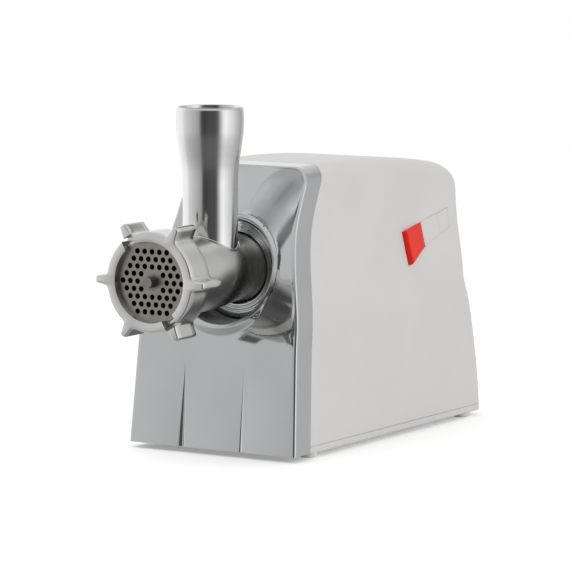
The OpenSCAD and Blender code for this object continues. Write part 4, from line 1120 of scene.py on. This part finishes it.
def cap_shape(y0, y1, inset, top, low, edge, upper_gap, front_gap=0.0):
    """Closed cap between two places along the tray, from low to top(x, y), with top edges of radius edge."""
    y0, y1 = y0 + inset + front_gap, y1 - inset
    inner = 10
    # Distance in from the side and drop below the top; no drop stands for the cap's foot
    marks = [(0, None), (0, edge), (edge * 0.3, edge * 0.35), (edge, 0)]
    rows = []

    def spread(a, b):
        """Places from a to b with their drop below the top."""
        line = [(a + off, drop) for off, drop in marks]
        start, end = a + edge, b - edge
        line += [(start + (end - start) * k / inner, 0) for k in range(1, inner)]
        return line + [(b - off, drop) for off, drop in reversed(marks)]

    for y, drop_y in spread(y0, y1):
        row = []
        for x, drop_x in spread(-tray_upper(y) + inset + upper_gap(y), -tray_lower(y) - inset):
            if drop_x is None or drop_y is None:
                row.append(side_place(x, y, low))
            else:
                row.append(side_place(x, y, top(x, y) - max(drop_x, drop_y)))
        rows.append(row)
    columns = len(rows[0])
    points, faces = loft(rows, wrap_rows=False, wrap_columns=False)
    rim = [j for j in range(columns)] + [i * columns + columns - 1 for i in range(1, len(rows))]
    rim += [(len(rows) - 1) * columns + j for j in range(columns - 2, -1, -1)]
    rim += [i * columns for i in range(len(rows) - 2, 0, -1)]
    faces.append(tuple(rim))
    return points, faces


def rocker_top(x, y):
    """The rocker at rest: proud at its front end, nearly level with the housing at its rear."""
    proud, rear_proud = 4.2, 0.5
    return flush(x) + rear_proud + (proud - rear_proud) * (POWER_REAR - y) / (POWER_REAR - TRAY_FRONT)


def build_rocker():
    """Power rocker: cap, stem and pivot pin."""
    cap = cap_shape(TRAY_FRONT, POWER_REAR, inset=0.45, top=rocker_top, low=-5, edge=0.8, front_gap=0.8,
                    upper_gap=lambda y: 0.4)
    x, y = POWER_STEM
    stem = prism_shape([(x - 2, y - 1.6), (x + 2, y - 1.6), (x + 2, y + 1.6), (x - 2, y + 1.6)], side_place,
                       -14, -4.5)
    x, y, z = PIVOT
    pin = rod_shape(side_place(x - PIVOT_HALF, y, z), side_place(x + PIVOT_HALF, y, z), PIVOT_R, 24)
    shade(add_piece("rocker", *joined(cap, stem, pin), "red_plastic", "power", ["power_rocker"]), 40)


def build_buttons():
    """Reverse and reset buttons: level caps on round stems."""
    for name, body, start, end, (x, y), node in (
            ("reverse_cap", "reverse", POWER_REAR, REVERSE_REAR, REVERSE_STEM, "reverse_button"),
            ("reset_cap", "reset", REVERSE_REAR, TRAY_BACK, RESET_STEM, "reset_button")):
        cap = cap_shape(start, end, inset=0.08, top=lambda x, y: flush(x) + 0.03, low=-3.8, edge=0.12,
                        upper_gap=lambda y: 0.15 + 0.012 * (y - POWER_REAR))
        stem = rod_shape(side_place(x, y, -15), side_place(x, y, -3.5), 3, 32)
        shade(add_piece(name, *joined(cap, stem), "white_plastic", body, [node]), 40)


# ---------- the whole object ----------
# CAD nodes behind the plate, given darker materials than their slots as painted shade so that the plate's
# holes look black; the auger's grey is partly its stud's own tone
INSIDE_BARREL = {"auger": "auger_grey_and_painted_shade", "cutter_knife": "knife_painted_shade"}

make_camera()
make_world()
make_lights()
materials = {name: make_material(name, **look) for name, look in LOOKS.items()}
make_floor(materials["floor"])
for part in frame["record"]["subparts"]:
    mesh = frame["nodes"][part["node"]].data
    mesh.materials.clear()
    mesh.materials.append(materials[INSIDE_BARREL.get(part["node"], part["material_slot"])])
build_shell()
build_base()
build_panel()
build_bezel()
build_cup()
build_collar()
build_barrel()
build_tube()
build_ring()
build_rocker()
build_buttons()

bpy.context.scene.view_settings.view_transform = "Standard"
